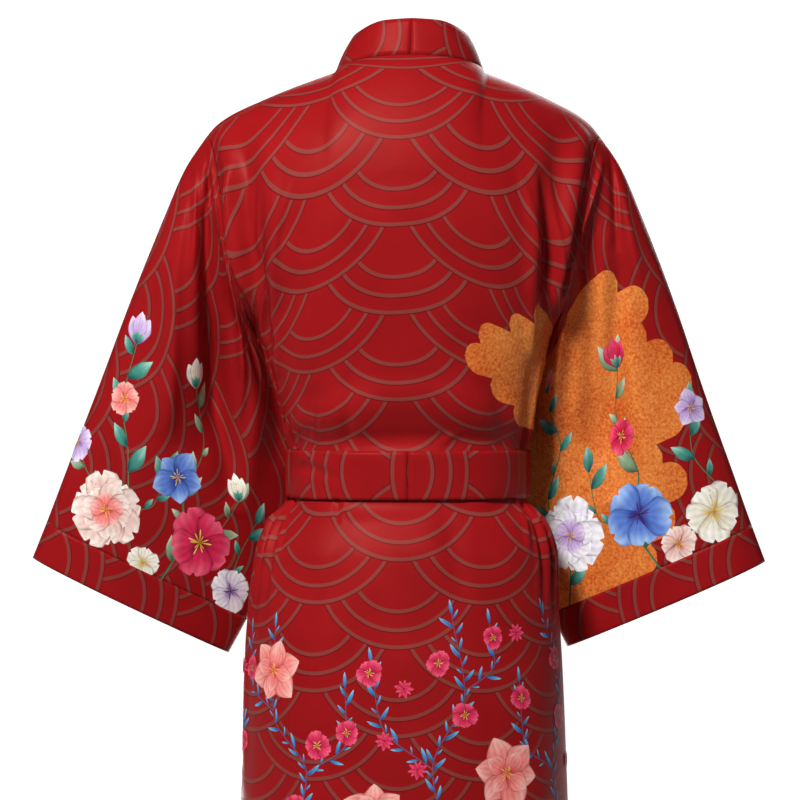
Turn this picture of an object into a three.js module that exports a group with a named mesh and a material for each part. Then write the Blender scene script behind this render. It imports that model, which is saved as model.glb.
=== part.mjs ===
// A long satin kimono robe, standing open and hollow as it hangs when worn.
// Units are millimetres. +Z is up, +X is the wearer's left, and the front faces -Y.
// The origin is the middle of the neck opening, level with the tops of the shoulders.
//
// Every cloth piece is a grid of outer points, given a wall towards the inside.
// A place on the body is (u, t): u runs from the centre line (0) to the side (1, or -1 on the
// wearer's right), and t is the length of cloth down from the shoulder line.
import * as THREE from "three";

// Rows of values under named columns
function table(columns, rows) {
  return rows.map((row) => Object.fromEntries(columns.map((column, i) => [column, row[i]])));
}

// Sizes of the cloth and its seams
const CLOTH_WALL = 1.6;
const BAND_WALL = 2.6;
const SEAM_GAP = 0.5;
// Two cloths that meet are mitred, from none at this cosine of their lean to all at the next
const MITRE = { none: 0.3, all: 0.6 };
const HALF_WIDTH = 245; // cut width of a back half, centre to side
const HEM_HALF_WIDTH = 275;
const NECK_HALF_WIDTH = 90; // cut distance from the centre to where the shoulder starts
const ARMHOLE_DEPTH = 255;
const YOKE_DEPTH = 155; // the cloth rolls over the shoulder down to here
const BELT_TOP = 452;
const BELT_BOTTOM = 504;
const HEM = 1295;
// The upper front stands off the one below it, from near its side seam on, and from below the neck
const LAYER = { lift: 5, sideEnd: 218, sideRun: 40, topStart: 60, topRun: 110 };

// Shape of the neck and the shoulder line
const NECK = { halfWidth: 80, y: -4, backY: 58, backZ: 13, frontY: -62, frontZ: -60 };
const SHOULDER = [
  { along: 0, x: 80, y: -4, z: 0 },
  { along: 0.35, x: 128, y: -6, z: -18 },
  { along: 0.58, x: 160, y: -8, z: -32 },
  { along: 0.77, x: 185, y: -10, z: -44 },
  { along: 0.89, x: 202, y: -11, z: -56 },
  { along: 1, x: 214, y: -12, z: -70 },
];

// The robe hangs a little to one side: shift of the middle at each height
const SWAY = [
  { z: -1300, x: 4.5 },
  { z: -600, x: 4.5 },
  { z: -460, x: 0 },
  { z: -408, x: 0 },
  { z: -250, x: 5 },
  { z: -70, x: 5 },
  { z: 0, x: -2 },
  { z: 50, x: -4 },
];

// Level sections of the body. The scye is half the depth of the armhole there, and turn is how far
// round, in degrees, the section has turned by the time it meets the side.
const BODY = table(
  ["t", "backY", "backZ", "frontY", "frontZ", "sideX", "sideY", "sideZ", "scye", "turn"],
  [
    [155, 106, -112, -118, -160, 186, -10, -207, 50, 60],
    [205, 110, -162, -126, -205, 173, -8, -252, 36, 72],
    [255, 108, -212, -125, -248, 157, -6, -290, 0, 90],
    [305, 104, -262, -117, -290, 149, -5, -322, 0, 90],
    [355, 98, -312, -107, -333, 141, -5, -352, 0, 90],
    [405, 95, -361, -102, -372, 135, -5, -382, 0, 90],
    [452, 84, -408, -93, -408, 124.5, -4, -408, 0, 90],
    [504, 84, -460, -93, -460, 124.5, -4, -460, 0, 90],
    [530, 96, -486, -104, -486, 147, -3, -486, 0, 90],
    [565, 108, -521, -111, -521, 161, -2, -521, 0, 90],
    [635, 119, -590, -117, -590, 168, 0, -590, 0, 90],
    [705, 126, -660, -119, -660, 172, 2, -660, 0, 90],
    [835, 131, -790, -125, -790, 177, 2, -790, 0, 90],
    [1065, 138, -1020, -132, -1020, 188, 2, -1020, 0, 90],
    [1295, 144, -1250, -139, -1250, 199, 2, -1250, 0, 90],
  ],
);
const ROUNDNESS = { back: 2.25, front: 2.5 }; // superellipse exponent of a level section
const SAG = 1.6; // how the level lines drop from the centre to the side
const GATHER_POWER = 2.8; // how strongly the spare width is kept for the sides
const NECK_ROLL = 0.45; // how little the cloth rolls over where it leaves the neck seam

// The front edge, where the neckband is sewn on: cut distance from the centre line, on each front
const FRONT_EDGE = [
  { t: 0, x: 90 },
  { t: 100, x: 84 },
  { t: 200, x: 60 },
  { t: 300, x: 12 },
  { t: 400, x: -46 },
  { t: 504, x: -84 },
  { t: 700, x: -100 },
  { t: 1295, x: -106 },
];

// The sleeve on the wearer's left. Its top edge and its underarm edge at a share s of its length.
const SLEEVE = [
  { s: 0, topX: 214, topY: -12, topZ: -70, underX: 157, underY: -6, underZ: -290, thick: 46 },
  { s: 0.08, topX: 236, topY: -13, topZ: -103, underX: 152, underY: -26, underZ: -318, thick: 44 },
  { s: 0.19, topX: 259, topY: -15, topZ: -155, underX: 140, underY: -50, underZ: -352, thick: 42 },
  { s: 0.4, topX: 299, topY: -19, topZ: -254, underX: 122, underY: -80, underZ: -420, thick: 40 },
  { s: 0.58, topX: 330, topY: -24, topZ: -336, underX: 124, underY: -92, underZ: -474, thick: 38 },
  { s: 0.78, topX: 365, topY: -28, topZ: -426, underX: 145, underY: -92, underZ: -538, thick: 37 },
  { s: 0.91, topX: 388, topY: -31, topZ: -486, underX: 172, underY: -88, underZ: -596, thick: 37 },
  { s: 1, topX: 404, topY: -32, topZ: -526, underX: 193, underY: -84, underZ: -635, thick: 37 },
];
const CUFF_START = 0.913;
// How each arm differs: degrees it hangs closer to the body, and how much its underarm is drawn up
const ARM = {
  left: { swing: 0, rise: 2 },
  right: { swing: 1.2, rise: 8 },
};
const SLEEVE_SKEW = 0.3; // the arm fills the upper side of the sleeve
const SLEEVE_EVEN = 0.72; // how evenly the cloth is spread from the top edge to the underarm edge
const SLEEVE_DROP = { across: 60, down: 120 }; // bends the sections from the armhole's slant to the cuff's
const ARM_TURN = 1.4; // the arm has reached its own slant by the inverse of this share
const ARMHOLE_BLEND = 0.22; // share of the sleeve over which the armhole's own shape fades

// The band's free edge where it stands round the neck, from the centre back to the chest
const COLLAR = [
  { share: 0, x: 0, y: 49, z: 53 },
  { share: 0.3, x: 30, y: 44, z: 51 },
  { share: 0.62, x: 54, y: 22, z: 43 },
  { share: 0.88, x: 64, y: 0, z: 36 },
  { share: 1, x: 65, y: -12, z: 31 },
  { share: 1.25, x: 60, y: -40, z: 8 },
  { share: 1.6, x: 51, y: -68, z: -36 },
];
const COLLAR_END = 100; // t on the front where the band lies flat on the chest
const BAND_WIDTH = 50;
const BAND_CROWN = 1.4;
const BAND_STEPS = 4;

// Folds die away near the side seams, as a share of the half width, and near the shoulder line
const SEAM_FADE = 0.05;
const TOP_FADE = 40;

// Folds of the body. Each runs from (u0, t0) to (u1, t1). Depth is positive for a ridge and negative
// for a trough, and width is its half width, in millimetres of cloth.
const BACK_FOLDS = [
  { u0: 0.93, t0: 30, u1: 0.84, t1: 250, depth: 9, width: 13 },
  { u0: 0.8, t0: 70, u1: 0.76, t1: 300, depth: -9, width: 16 },
  { u0: 0.66, t0: 110, u1: 0.7, t1: 330, depth: 6, width: 13 },
  { u0: -0.93, t0: 30, u1: -0.85, t1: 240, depth: 8, width: 13 },
  { u0: -0.79, t0: 60, u1: -0.78, t1: 300, depth: -9, width: 16 },
  { u0: -0.64, t0: 100, u1: -0.7, t1: 310, depth: 6, width: 12 },
  { u0: 0.45, t0: 360, u1: 0.5, t1: 452, depth: -5, width: 18 },
  { u0: -0.42, t0: 350, u1: -0.5, t1: 452, depth: -5, width: 18 },
  { u0: 0, t0: 360, u1: 0, t1: 452, depth: -4, width: 44 },
];
const FRONT_FOLDS = [
  { u0: 0.9, t0: 60, u1: 0.72, t1: 300, depth: 7, width: 15 },
  { u0: 0.76, t0: 120, u1: 0.6, t1: 380, depth: -6, width: 17 },
  { u0: -0.9, t0: 60, u1: -0.72, t1: 300, depth: 7, width: 15 },
  { u0: -0.76, t0: 120, u1: -0.6, t1: 380, depth: -6, width: 17 },
];
// Gathers drawn in by the belt: waves between two places across, which die away above and below it
const GATHERS = {
  back: { from: 0.62, to: 0.98, waves: 4, depth: 5.5, above: 60, below: 130 },
  front: { from: 0.7, to: 0.97, waves: 2.5, depth: 4, above: 50, below: 110 },
};
const GATHER_PEAK = 0.45; // below 1 the waves are deepest near the belt
// Flutes that open towards the hem
const FLUTES = { waves: 5, offset: 0.1, back: 9, front: 5.5, start: 620 };

// Folds of the sleeves, between cloth places c (0 top, 1 underarm, 2 top again) and lengths s
const SLEEVE_FOLDS = [
  { c0: 0.42, s0: 0.04, c1: 0.52, s1: 0.62, depth: -13, width: 0.07 },
  { c0: 0.28, s0: 0.1, c1: 0.3, s1: 0.8, depth: 7, width: 0.09 },
  { c0: 0.66, s0: 0.02, c1: 0.7, s1: 0.7, depth: 9, width: 0.08 },
  { c0: 0.84, s0: 0.02, c1: 0.84, s1: 0.5, depth: -7, width: 0.06 },
  { c0: 1.6, s0: 0.08, c1: 1.5, s1: 0.7, depth: -9, width: 0.1 },
  { c0: 1.3, s0: 0.05, c1: 1.3, s1: 0.6, depth: 7, width: 0.09 },
];

// The belt. It stands further off past overStart, a share of the way from centre back to front.
const BELT = { clearance: 0.8, wall: 2.4, halfSegments: 32, overStart: 0.52, overRun: 0.08 };
const KNOT = {
  halfWidth: 26,
  halfDepth: 15,
  halfHeight: 27,
  around: 20,
  up: 12,
  pinch: 0.16,
  square: 0.72, // below 1 the lump is boxier than a ball
  taper: 0.1,
};
const TAIL = {
  length: 430,
  rows: 16,
  wall: 2.2,
  topHalf: 12,
  endHalf: 25,
  widenBy: 0.2, // the share of its length over which it opens to its full width
  apart: 14,
  spread: 20,
  lean: 0.05,
  standOff: 3,
  emerge: 9, // how far it comes forward to leave the knot
  curl: 3,
  curls: 2.2,
  lag: 0.4, // the two ends wave out of step
  cup: 0.6, // how much less the edges move than the middle
};

// Grid sizes. Rows down the body, columns from the neck to the side, and steps along the sleeve
const ARMHOLE_ROWS = 12;
const ROWS_ABOVE_BELT = 6;
const ROWS_IN_BELT = 2;
const ROWS_BELOW_BELT = 5;
const ROWS_TO_HEM = 5;
const GATHER_END = 650;
const NECK_COLUMNS = 6;
const COLLAR_ROWS = 6; // steps down from the shoulder to where the collar is joined to the band
const SIDE_COLUMNS = 14;
const SIDE_CROWDING = 1.25;
const SLEEVE_STEPS = 12;
// Steps after which a long piece is joined to the rest of itself: under the belt and near the elbow
const WAIST_JOIN = ARMHOLE_ROWS + ROWS_ABOVE_BELT + 1;
const ELBOW_JOIN = 5;
const CUFF_STEPS = 2;
const SECTION_SAMPLES = 160;
const PROBE = { across: 0.004, down: 1 }; // steps that a surface's slope is measured over

const RED = 0xa8151c;
const satin = new THREE.MeshStandardMaterial({
  color: RED,
  roughness: 0.42,
  metalness: 0,
});

const vector = (x, y, z) => new THREE.Vector3(x, y, z);
const mix = (a, b, w) => a + (b - a) * w;
const radians = THREE.MathUtils.degToRad;
const smooth = (x) => THREE.MathUtils.smoothstep(x, 0, 1);
const clamp = THREE.MathUtils.clamp;

// Slope at a table row that never makes the curve overshoot
function rowSlope(rows, key, column, i) {
  if (i === 0 || i === rows.length - 1) return secant(rows, key, column, i === 0 ? 0 : i - 1);
  const before = secant(rows, key, column, i - 1);
  const after = secant(rows, key, column, i);
  return before * after <= 0 ? 0 : (2 * before * after) / (before + after);
}

function secant(rows, key, column, i) {
  return (rows[i + 1][column] - rows[i][column]) / (rows[i + 1][key] - rows[i][key]);
}

// Smooth value of one column of a table at a place between its rows
function tableValue(rows, key, column, at) {
  const x = clamp(at, rows[0][key], rows[rows.length - 1][key]);
  let i = 0;
  while (i < rows.length - 2 && x > rows[i + 1][key]) i += 1;
  const span = rows[i + 1][key] - rows[i][key];
  const w = (x - rows[i][key]) / span;
  const rise0 = rowSlope(rows, key, column, i) * span;
  const rise1 = rowSlope(rows, key, column, i + 1) * span;
  const a = rows[i][column];
  const b = rows[i + 1][column];
  const w2 = w * w;
  const w3 = w2 * w;
  return a * (2 * w3 - 3 * w2 + 1) + b * (3 * w2 - 2 * w3) + rise0 * (w3 - 2 * w2 + w) + rise1 * (w3 - w2);
}

const halfWidthAt = (t) => mix(HALF_WIDTH, HEM_HALF_WIDTH, smooth((t - BELT_BOTTOM) / (HEM - BELT_BOTTOM)));

// Centre-to-side curve of a level section, as points with their length so far
function sectionCurve(t, side) {
  const value = (column) => tableValue(BODY, "t", column, t);
  const sign = side === "back" ? 1 : -1;
  const turn = radians(value("turn"));
  const centre = { y: value(side + "Y"), z: value(side + "Z") };
  const edge = { x: value("sideX"), y: value("sideY") + sign * value("scye"), z: value("sideZ") };
  const points = [];
  let length = 0;
  for (let i = 0; i <= SECTION_SAMPLES; i += 1) {
    const angle = (turn * i) / SECTION_SAMPLES;
    const across = (Math.sin(angle) / Math.sin(turn)) ** (2 / ROUNDNESS[side]);
    const inward = Math.max(Math.cos(angle) - Math.cos(turn), 0) / (1 - Math.cos(turn));
    const x = edge.x * across;
    const y = edge.y + (centre.y - edge.y) * inward ** (2 / ROUNDNESS[side]);
    const z = mix(centre.z, edge.z, across ** SAG);
    const point = vector(x, y, z);
    if (i > 0) length += point.distanceTo(points[i - 1].point);
    points.push({ point, length });
  }
  return points;
}

// The neckline and the shoulder line, at a cut distance x from the centre
function topPoint(x, side) {
  if (x <= NECK_HALF_WIDTH) {
    const angle = ((Math.PI / 2) * x) / NECK_HALF_WIDTH;
    const reach = NECK[side + "Y"] - NECK.y;
    const back = Math.cos(angle);
    return vector(NECK.halfWidth * Math.sin(angle), NECK.y + reach * back, NECK[side + "Z"] * back);
  }
  const along = (x - NECK_HALF_WIDTH) / (HALF_WIDTH - NECK_HALF_WIDTH);
  const value = (column) => tableValue(SHOULDER, "along", column, along);
  return vector(value("x"), value("y"), value("z"));
}

const curves = new Map();
function cachedSection(t, side) {
  const key = side + t.toFixed(3);
  if (!curves.has(key)) curves.set(key, sectionCurve(t, side));
  return curves.get(key);
}

// A point of a level section. The middle keeps the cloth's own width, and the sides take up what is
// left by gathering it.
function sectionPoint(u, t, side) {
  const curve = cachedSection(t, side);
  const total = curve[curve.length - 1].length;
  const fullness = halfWidthAt(t) / total;
  const share = fullness > 1 ? u * fullness - (fullness - 1) * u ** GATHER_POWER : u;
  const target = clamp(share, 0, 1) * total;
  let i = 1;
  while (i < curve.length - 1 && curve[i].length < target) i += 1;
  const before = curve[i - 1];
  const after = curve[i];
  return before.point.clone().lerp(after.point, (target - before.length) / (after.length - before.length));
}

const swayAt = (z) => tableValue(SWAY, "z", "x", z);

// The body's plain surface, before folds. Above the yoke line the cloth rolls over the shoulder.
function plainPoint(u, t, side) {
  const across = Math.abs(u);
  const lower = sectionPoint(across, Math.max(t, YOKE_DEPTH), side);
  if (t < YOKE_DEPTH) {
    const top = topPoint(across * HALF_WIDTH, side);
    const w = t / YOKE_DEPTH;
    const roll = mix(NECK_ROLL, 1, smooth((across * HALF_WIDTH) / NECK_HALF_WIDTH));
    const outward = mix(w, Math.sin((Math.PI / 2) * w), roll);
    const down = mix(w, 1 - Math.cos((Math.PI / 2) * w), roll);
    lower.set(mix(top.x, lower.x, w), mix(top.y, lower.y, outward), mix(top.z, lower.z, down));
  }
  if (u < 0) lower.x = -lower.x;
  lower.x += swayAt(lower.z);
  return lower;
}

// Height of one fold at a distance to its side, faded at both ends
const foldProfile = (distance, width) => Math.exp(-((distance / width) ** 2));
const foldFade = (along) => Math.sin(Math.PI * clamp(along, 0, 1)) ** 0.7;

function foldsAt(folds, u, t) {
  let height = 0;
  for (const fold of folds) {
    const along = (t - fold.t0) / (fold.t1 - fold.t0);
    if (along <= 0 || along >= 1) continue;
    const distance = (u - mix(fold.u0, fold.u1, along)) * HALF_WIDTH;
    height += fold.depth * foldProfile(distance, fold.width) * foldFade(along);
  }
  return height;
}

function gathersAt(u, t, side) {
  const row = GATHERS[side];
  const place = (Math.abs(u) - row.from) / (row.to - row.from);
  const away = t < BELT_TOP ? (BELT_TOP - t) / row.above : (t - BELT_BOTTOM) / row.below;
  if (place <= 0 || place >= 1 || away <= 0 || away >= 1) return 0;
  const fade = Math.sin(Math.PI * away ** GATHER_PEAK);
  return row.depth * fade * Math.sin(Math.PI * place) ** 0.5 * Math.sin(2 * Math.PI * row.waves * place);
}

function flutesAt(u, t, side) {
  const growth = smooth((t - FLUTES.start) / (HEM - FLUTES.start));
  const wave = Math.sin(Math.PI * FLUTES.waves * (Math.abs(u) + FLUTES.offset));
  return FLUTES[side] * growth * Math.sin(Math.PI * u) * wave;
}

// How far the upper front, on the wearer's left, stands off the one under it
function layerAt(u, t) {
  const x = u * halfWidthAt(t);
  const across = smooth((LAYER.sideEnd - x) / LAYER.sideRun);
  return LAYER.lift * across * smooth((t - LAYER.topStart) / LAYER.topRun);
}

// The body's outer surface with its folds. lift moves it outwards.
function bodyPoint(u, t, side, lift = 0) {
  const here = plainPoint(u, t, side);
  const inner = clamp(u - PROBE.across, -1, 1);
  const outer = clamp(u + PROBE.across, -1, 1);
  const acrossWay = plainPoint(outer, t, side).sub(plainPoint(inner, t, side));
  const above = Math.max(t - PROBE.down, 0);
  const below = Math.min(t + PROBE.down, HEM);
  const downWay = plainPoint(u, below, side).sub(plainPoint(u, above, side));
  const normal = side === "back" ? acrossWay.cross(downWay) : downWay.cross(acrossWay);
  normal.normalize();
  const seamFade = smooth((1 - Math.abs(u)) / SEAM_FADE);
  const topFade = smooth(t / TOP_FADE);
  const folds = foldsAt(side === "back" ? BACK_FOLDS : FRONT_FOLDS, u, t);
  const height = (folds + gathersAt(u, t, side) + flutesAt(u, t, side)) * seamFade * topFade;
  return here.addScaledVector(normal, height + lift);
}

// Normals of a grid of points, as the sum over the cells that meet at each
function gridNormals(grid, closed) {
  const rows = grid.length;
  const columns = grid[0].length;
  const normals = grid.map((row) => row.map(() => vector(0, 0, 0)));
  const lastColumn = closed ? columns : columns - 1;
  for (let i = 0; i < rows - 1; i += 1) {
    for (let j = 0; j < lastColumn; j += 1) {
      const next = (j + 1) % columns;
      const diagonal1 = grid[i + 1][next].clone().sub(grid[i][j]);
      const diagonal2 = grid[i + 1][j].clone().sub(grid[i][next]);
      const normal = diagonal2.cross(diagonal1).normalize();
      normals[i][j].add(normal);
      normals[i][next].add(normal);
      normals[i + 1][j].add(normal);
      normals[i + 1][next].add(normal);
    }
  }
  return normals;
}

const pieces = [];
// Sums of the outward normals of all the cloths that meet at a place
const sewnNormals = new Map();
const PLACES_PER_MM = 50;
const placeKey = (p) => [p.x, p.y, p.z].map((value) => Math.round(value * PLACES_PER_MM)).join(",");
const sewnNormal = (point) => sewnNormals.get(placeKey(point)).clone().normalize();
const RIM_ORDER = 0.37; // any slant that puts no two neighbouring seam points level

// Adds a cloth piece. Seen from outside, its rows go down and its columns go right, or left with flip.
function addCloth(name, grid, options = {}) {
  const { closed = false, wall = CLOTH_WALL, flip = false } = options;
  const normals = gridNormals(grid, closed);
  normals.forEach((row) => row.forEach((normal) => normal.normalize().multiplyScalar(flip ? -1 : 1)));
  grid.forEach((row, i) =>
    row.forEach((point, j) => {
      const key = placeKey(point);
      if (!sewnNormals.has(key)) sewnNormals.set(key, vector(0, 0, 0));
      sewnNormals.get(key).add(normals[i][j]);
    }),
  );
  pieces.push({ name, grid, normals, closed, wall, flip });
}

// Adds a long cloth piece as an upper and a lower solid, which meet at one of its rows
function addClothInTwo(upperName, lowerName, grid, join, options) {
  addCloth(upperName, grid.slice(0, join + 1), options);
  addCloth(lowerName, grid.slice(join), options);
}

// Moves the edges of a piece back from its seams, by half the gap, at right angles to the plane that
// halves the angle between the two cloths
function trimEdges({ grid, normals, closed }) {
  const last = grid.length - 1;
  const end = grid[0].length - 1;
  const trimmed = grid.map((row) => row.map((point) => point.clone()));
  const draw = (i, j, fromI, fromJ) => {
    const way = grid[fromI][fromJ].clone().sub(grid[i][j]).normalize();
    const sewn = sewnNormal(grid[i][j]);
    const sine = clamp(sewn.dot(normals[i][j]), 0, 1);
    const cosine = Math.sqrt(1 - sine * sine) * (way.dot(sewn) > 0 ? 1 : -1);
    trimmed[i][j].addScaledVector(way, (sine * SEAM_GAP) / 2);
    trimmed[i][j].addScaledVector(normals[i][j], (-cosine * SEAM_GAP) / 2);
  };
  for (let j = 0; j <= end; j += 1) {
    draw(0, j, 1, j);
    draw(last, j, last - 1, j);
  }
  if (!closed) {
    for (let i = 0; i <= last; i += 1) {
      draw(i, 0, i, 1);
      draw(i, end, i, end - 1);
    }
  }
  return trimmed;
}

// The way through the wall at a place. Two cloths that meet share it, so that the wall is mitred,
// but where they meet in a tight crease each keeps its own.
function throughWall({ grid, normals }, i, j) {
  const own = normals[i][j];
  const sewn = sewnNormal(grid[i][j]);
  const shared = smooth((sewn.dot(own) - MITRE.none) / (MITRE.all - MITRE.none));
  const way = own.clone().lerp(sewn, shared).normalize();
  return way.multiplyScalar(-1 / way.dot(own));
}

// Closed solid of a cloth piece: its outer points, and the same points moved in by the wall
function clothGeometry(piece) {
  const { grid, closed, wall, flip } = piece;
  const outer = trimEdges(piece);
  const rows = outer.length;
  const columns = outer[0].length;
  const inner = outer.map((row, i) =>
    row.map((point, j) => point.clone().addScaledVector(throughWall(piece, i, j), wall)),
  );
  const positions = [];
  const push = (point) => positions.push(point.x, point.y, point.z);
  outer.flat().forEach(push);
  inner.flat().forEach(push);
  const faces = [];
  const quad = (a, b, c, d) => {
    if (flip) faces.push(a, c, b, a, d, c);
    else faces.push(a, b, c, a, c, d);
  };
  const at = (i, j) => i * columns + (j % columns);
  const under = rows * columns;
  // One face of a rim. Both pieces of a seam split it the same way, so that they stay parallel.
  const rim = (i0, j0, i1, j1) => {
    const a = at(i0, j0);
    const b = at(i1, j1);
    const rank = (i, j) => grid[i][j % columns].z + RIM_ORDER * Math.abs(grid[i][j % columns].x);
    if (rank(i0, j0) > rank(i1, j1)) quad(a, b, under + b, under + a);
    else quad(b, under + b, under + a, a);
  };
  const lastColumn = closed ? columns : columns - 1;
  for (let i = 0; i < rows - 1; i += 1) {
    for (let j = 0; j < lastColumn; j += 1) {
      quad(at(i, j), at(i + 1, j), at(i + 1, j + 1), at(i, j + 1));
      quad(under + at(i, j), under + at(i, j + 1), under + at(i + 1, j + 1), under + at(i + 1, j));
    }
    if (!closed) {
      rim(i + 1, 0, i, 0);
      rim(i, columns - 1, i + 1, columns - 1);
    }
  }
  for (let j = 0; j < lastColumn; j += 1) {
    rim(0, j, 0, j + 1);
    rim(rows - 1, j + 1, rows - 1, j);
  }
  const geometry = new THREE.BufferGeometry();
  geometry.setAttribute("position", new THREE.Float32BufferAttribute(positions, 3));
  geometry.setIndex(faces);
  geometry.computeVertexNormals();
  return geometry;
}

// Even steps from one value to another, without the first when joining on to a run
function steps(from, to, count) {
  return Array.from({ length: count }, (_, i) => mix(from, to, (i + 1) / count));
}

const bodyRows = [
  0,
  ...steps(0, ARMHOLE_DEPTH, ARMHOLE_ROWS),
  ...steps(ARMHOLE_DEPTH, BELT_TOP, ROWS_ABOVE_BELT),
  ...steps(BELT_TOP, BELT_BOTTOM, ROWS_IN_BELT),
  ...steps(BELT_BOTTOM, GATHER_END, ROWS_BELOW_BELT),
  ...steps(GATHER_END, HEM, ROWS_TO_HEM),
];
const neckU = NECK_HALF_WIDTH / HALF_WIDTH;
const neckColumns = [0, ...steps(0, neckU, NECK_COLUMNS)];
// Columns from the neck to the side, closer together where the belt gathers the cloth
const sideShares = [0, ...steps(0, 1, SIDE_COLUMNS)].map((w) => 1 - (1 - w) ** SIDE_CROWDING);

function addBack() {
  const half = [...neckColumns, ...sideShares.slice(1).map((w) => mix(neckU, 1, w))];
  const columns = [...half.slice(1).reverse().map((u) => -u), ...half];
  const grid = bodyRows.map((t) => columns.map((u) => bodyPoint(u, t, "back")));
  addClothInTwo("back", "back_skirt", grid, WAIST_JOIN, { flip: true });
}

// Place of the front edge seam on a front, and of the band's free edge beyond it
const edgeX = (t) => tableValue(FRONT_EDGE, "t", "x", t);
const edgeU = (t) => edgeX(t) / halfWidthAt(t);
function freeEdgeU(t) {
  const slope = (edgeX(Math.min(t + 2, HEM)) - edgeX(Math.max(t - 2, 0))) / 4;
  return (edgeX(t) - BAND_WIDTH * Math.sqrt(1 + slope * slope)) / halfWidthAt(t);
}

// A point on one front. hand is 1 for the wearer's left, which lies on top, and -1 for the right.
function frontPoint(u, t, hand, lift = 0) {
  const layer = hand > 0 ? layerAt(u, t) : 0;
  return bodyPoint(u * hand, t, "front", layer + lift);
}

function addFront(upperName, lowerName, hand) {
  const grid = bodyRows.map((t) => {
    const start = edgeU(t);
    return sideShares.map((w) => frontPoint(mix(start, 1, w), t, hand));
  });
  addClothInTwo(upperName, lowerName, grid, WAIST_JOIN, { flip: hand < 0 });
}

// The neckband of one side: the collar round the neck, and the rest down to the hem
function addNeckband(collarName, bandName, hand) {
  const seam = [];
  const free = [];
  const collarFree = (share) => {
    const value = (column) => tableValue(COLLAR, "share", column, share);
    return vector(hand * value("x") + swayAt(value("z")), value("y"), value("z"));
  };
  neckColumns.forEach((u, j) => {
    seam.push(bodyPoint(u * hand, 0, "back"));
    free.push(collarFree(j / NECK_COLUMNS));
  });
  bodyRows.slice(1).forEach((t) => {
    seam.push(frontPoint(edgeU(t), t, hand));
    const flat = frontPoint(freeEdgeU(t), t, hand);
    const standing = collarFree(mix(1, COLLAR.at(-1).share, t / COLLAR_END));
    free.push(standing.lerp(flat, smooth(t / COLLAR_END)));
  });
  const rows = seam.map((point, i) => {
    const across = [0, ...steps(0, 1, BAND_STEPS)];
    return across.map((w) => point.clone().lerp(free[i], w));
  });
  bodyRows.slice(1).forEach((t, k) => {
    rows[NECK_COLUMNS + 1 + k].forEach((point, j) => {
      const w = j / BAND_STEPS;
      point.lerp(frontPoint(mix(edgeU(t), freeEdgeU(t), w), t, hand), smooth(t / COLLAR_END));
    });
  });
  crownBand(rows, hand);
  const join = NECK_COLUMNS + COLLAR_ROWS;
  addClothInTwo(collarName, bandName, rows, join, { wall: BAND_WALL, flip: hand > 0 });
}

// Raises the band a little along its middle, because it is folded cloth
function crownBand(rows, hand) {
  const normals = gridNormals(rows, false);
  rows.forEach((row, i) => {
    row.forEach((point, j) => {
      const rise = BAND_CROWN * Math.sin((Math.PI * j) / BAND_STEPS) * Math.min(i / 2, 1);
      point.addScaledVector(normals[i][j].normalize(), -rise * hand);
    });
  });
}

// The armhole, as a loop: c is 0 at the shoulder, 1 at the underarm and 2 at the shoulder again
function armholePoint(c, hand) {
  const t = ARMHOLE_DEPTH * (c <= 1 ? c : 2 - c);
  return bodyPoint(hand, t, c <= 1 ? "back" : "front");
}

function sleeveSection(s, c, hand) {
  const value = (column) => tableValue(SLEEVE, "s", column, s);
  const top = vector(value("topX"), value("topY"), value("topZ"));
  const under = vector(value("underX"), value("underY"), value("underZ"));
  const pivot = vector(SLEEVE[0].topX, SLEEVE[0].topY, SLEEVE[0].topZ);
  const arm = hand > 0 ? ARM.left : ARM.right;
  const swing = radians(arm.swing * smooth(s * ARM_TURN));
  const forwards = vector(0, 1, 0);
  top.sub(pivot).applyAxisAngle(forwards, swing).add(pivot);
  under.sub(pivot).applyAxisAngle(forwards, swing).add(pivot);
  under.z += arm.rise * s * s;
  const toUnder = c <= 1 ? c : 2 - c;
  const place = mix((1 - Math.cos(Math.PI * toUnder)) / 2, toUnder, SLEEVE_EVEN);
  const round = 2 * Math.sqrt(Math.max(place * (1 - place), 0));
  const way = under.clone().sub(top);
  const axis = vector(top.x - pivot.x + SLEEVE_DROP.across, 0, top.z - pivot.z - SLEEVE_DROP.down);
  const outward = way.clone().cross(axis).normalize();
  if (outward.y < 0) outward.negate();
  const bulge = value("thick") * round * (1 + SLEEVE_SKEW * (1 - 2 * place));
  const point = top.clone().addScaledVector(way, place);
  point.addScaledVector(outward, (c <= 1 ? 1 : -1) * (bulge + sleeveFold(s, c)));
  point.x = hand * point.x + swayAt(pivot.z);
  return point;
}

function sleeveFold(s, c) {
  let height = 0;
  for (const fold of SLEEVE_FOLDS) {
    const along = (s - fold.s0) / (fold.s1 - fold.s0);
    if (along <= 0 || along >= 1) continue;
    height += fold.depth * foldProfile(c - mix(fold.c0, fold.c1, along), fold.width) * foldFade(along);
  }
  return height;
}

function sleevePoint(s, c, hand) {
  const point = sleeveSection(s, c, hand);
  const held = 1 - smooth(s / ARMHOLE_BLEND);
  const shift = armholePoint(c, hand).sub(sleeveSection(0, c, hand));
  return point.addScaledVector(shift, held);
}

function sleeveGrid(hand, from, to, count) {
  const around = 2 * ARMHOLE_ROWS;
  return [from, ...steps(from, to, count)].map((s) =>
    Array.from({ length: around }, (_, k) => sleevePoint(s, (2 * k) / around, hand)),
  );
}

function addSleeve(upperName, lowerName, cuffName, hand) {
  const options = { closed: true, flip: hand < 0 };
  const sleeve = sleeveGrid(hand, 0, CUFF_START, SLEEVE_STEPS);
  addClothInTwo(upperName, lowerName, sleeve, ELBOW_JOIN, options);
  addCloth(cuffName, sleeveGrid(hand, CUFF_START, 1, CUFF_STEPS), { ...options, wall: BAND_WALL });
}

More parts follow.
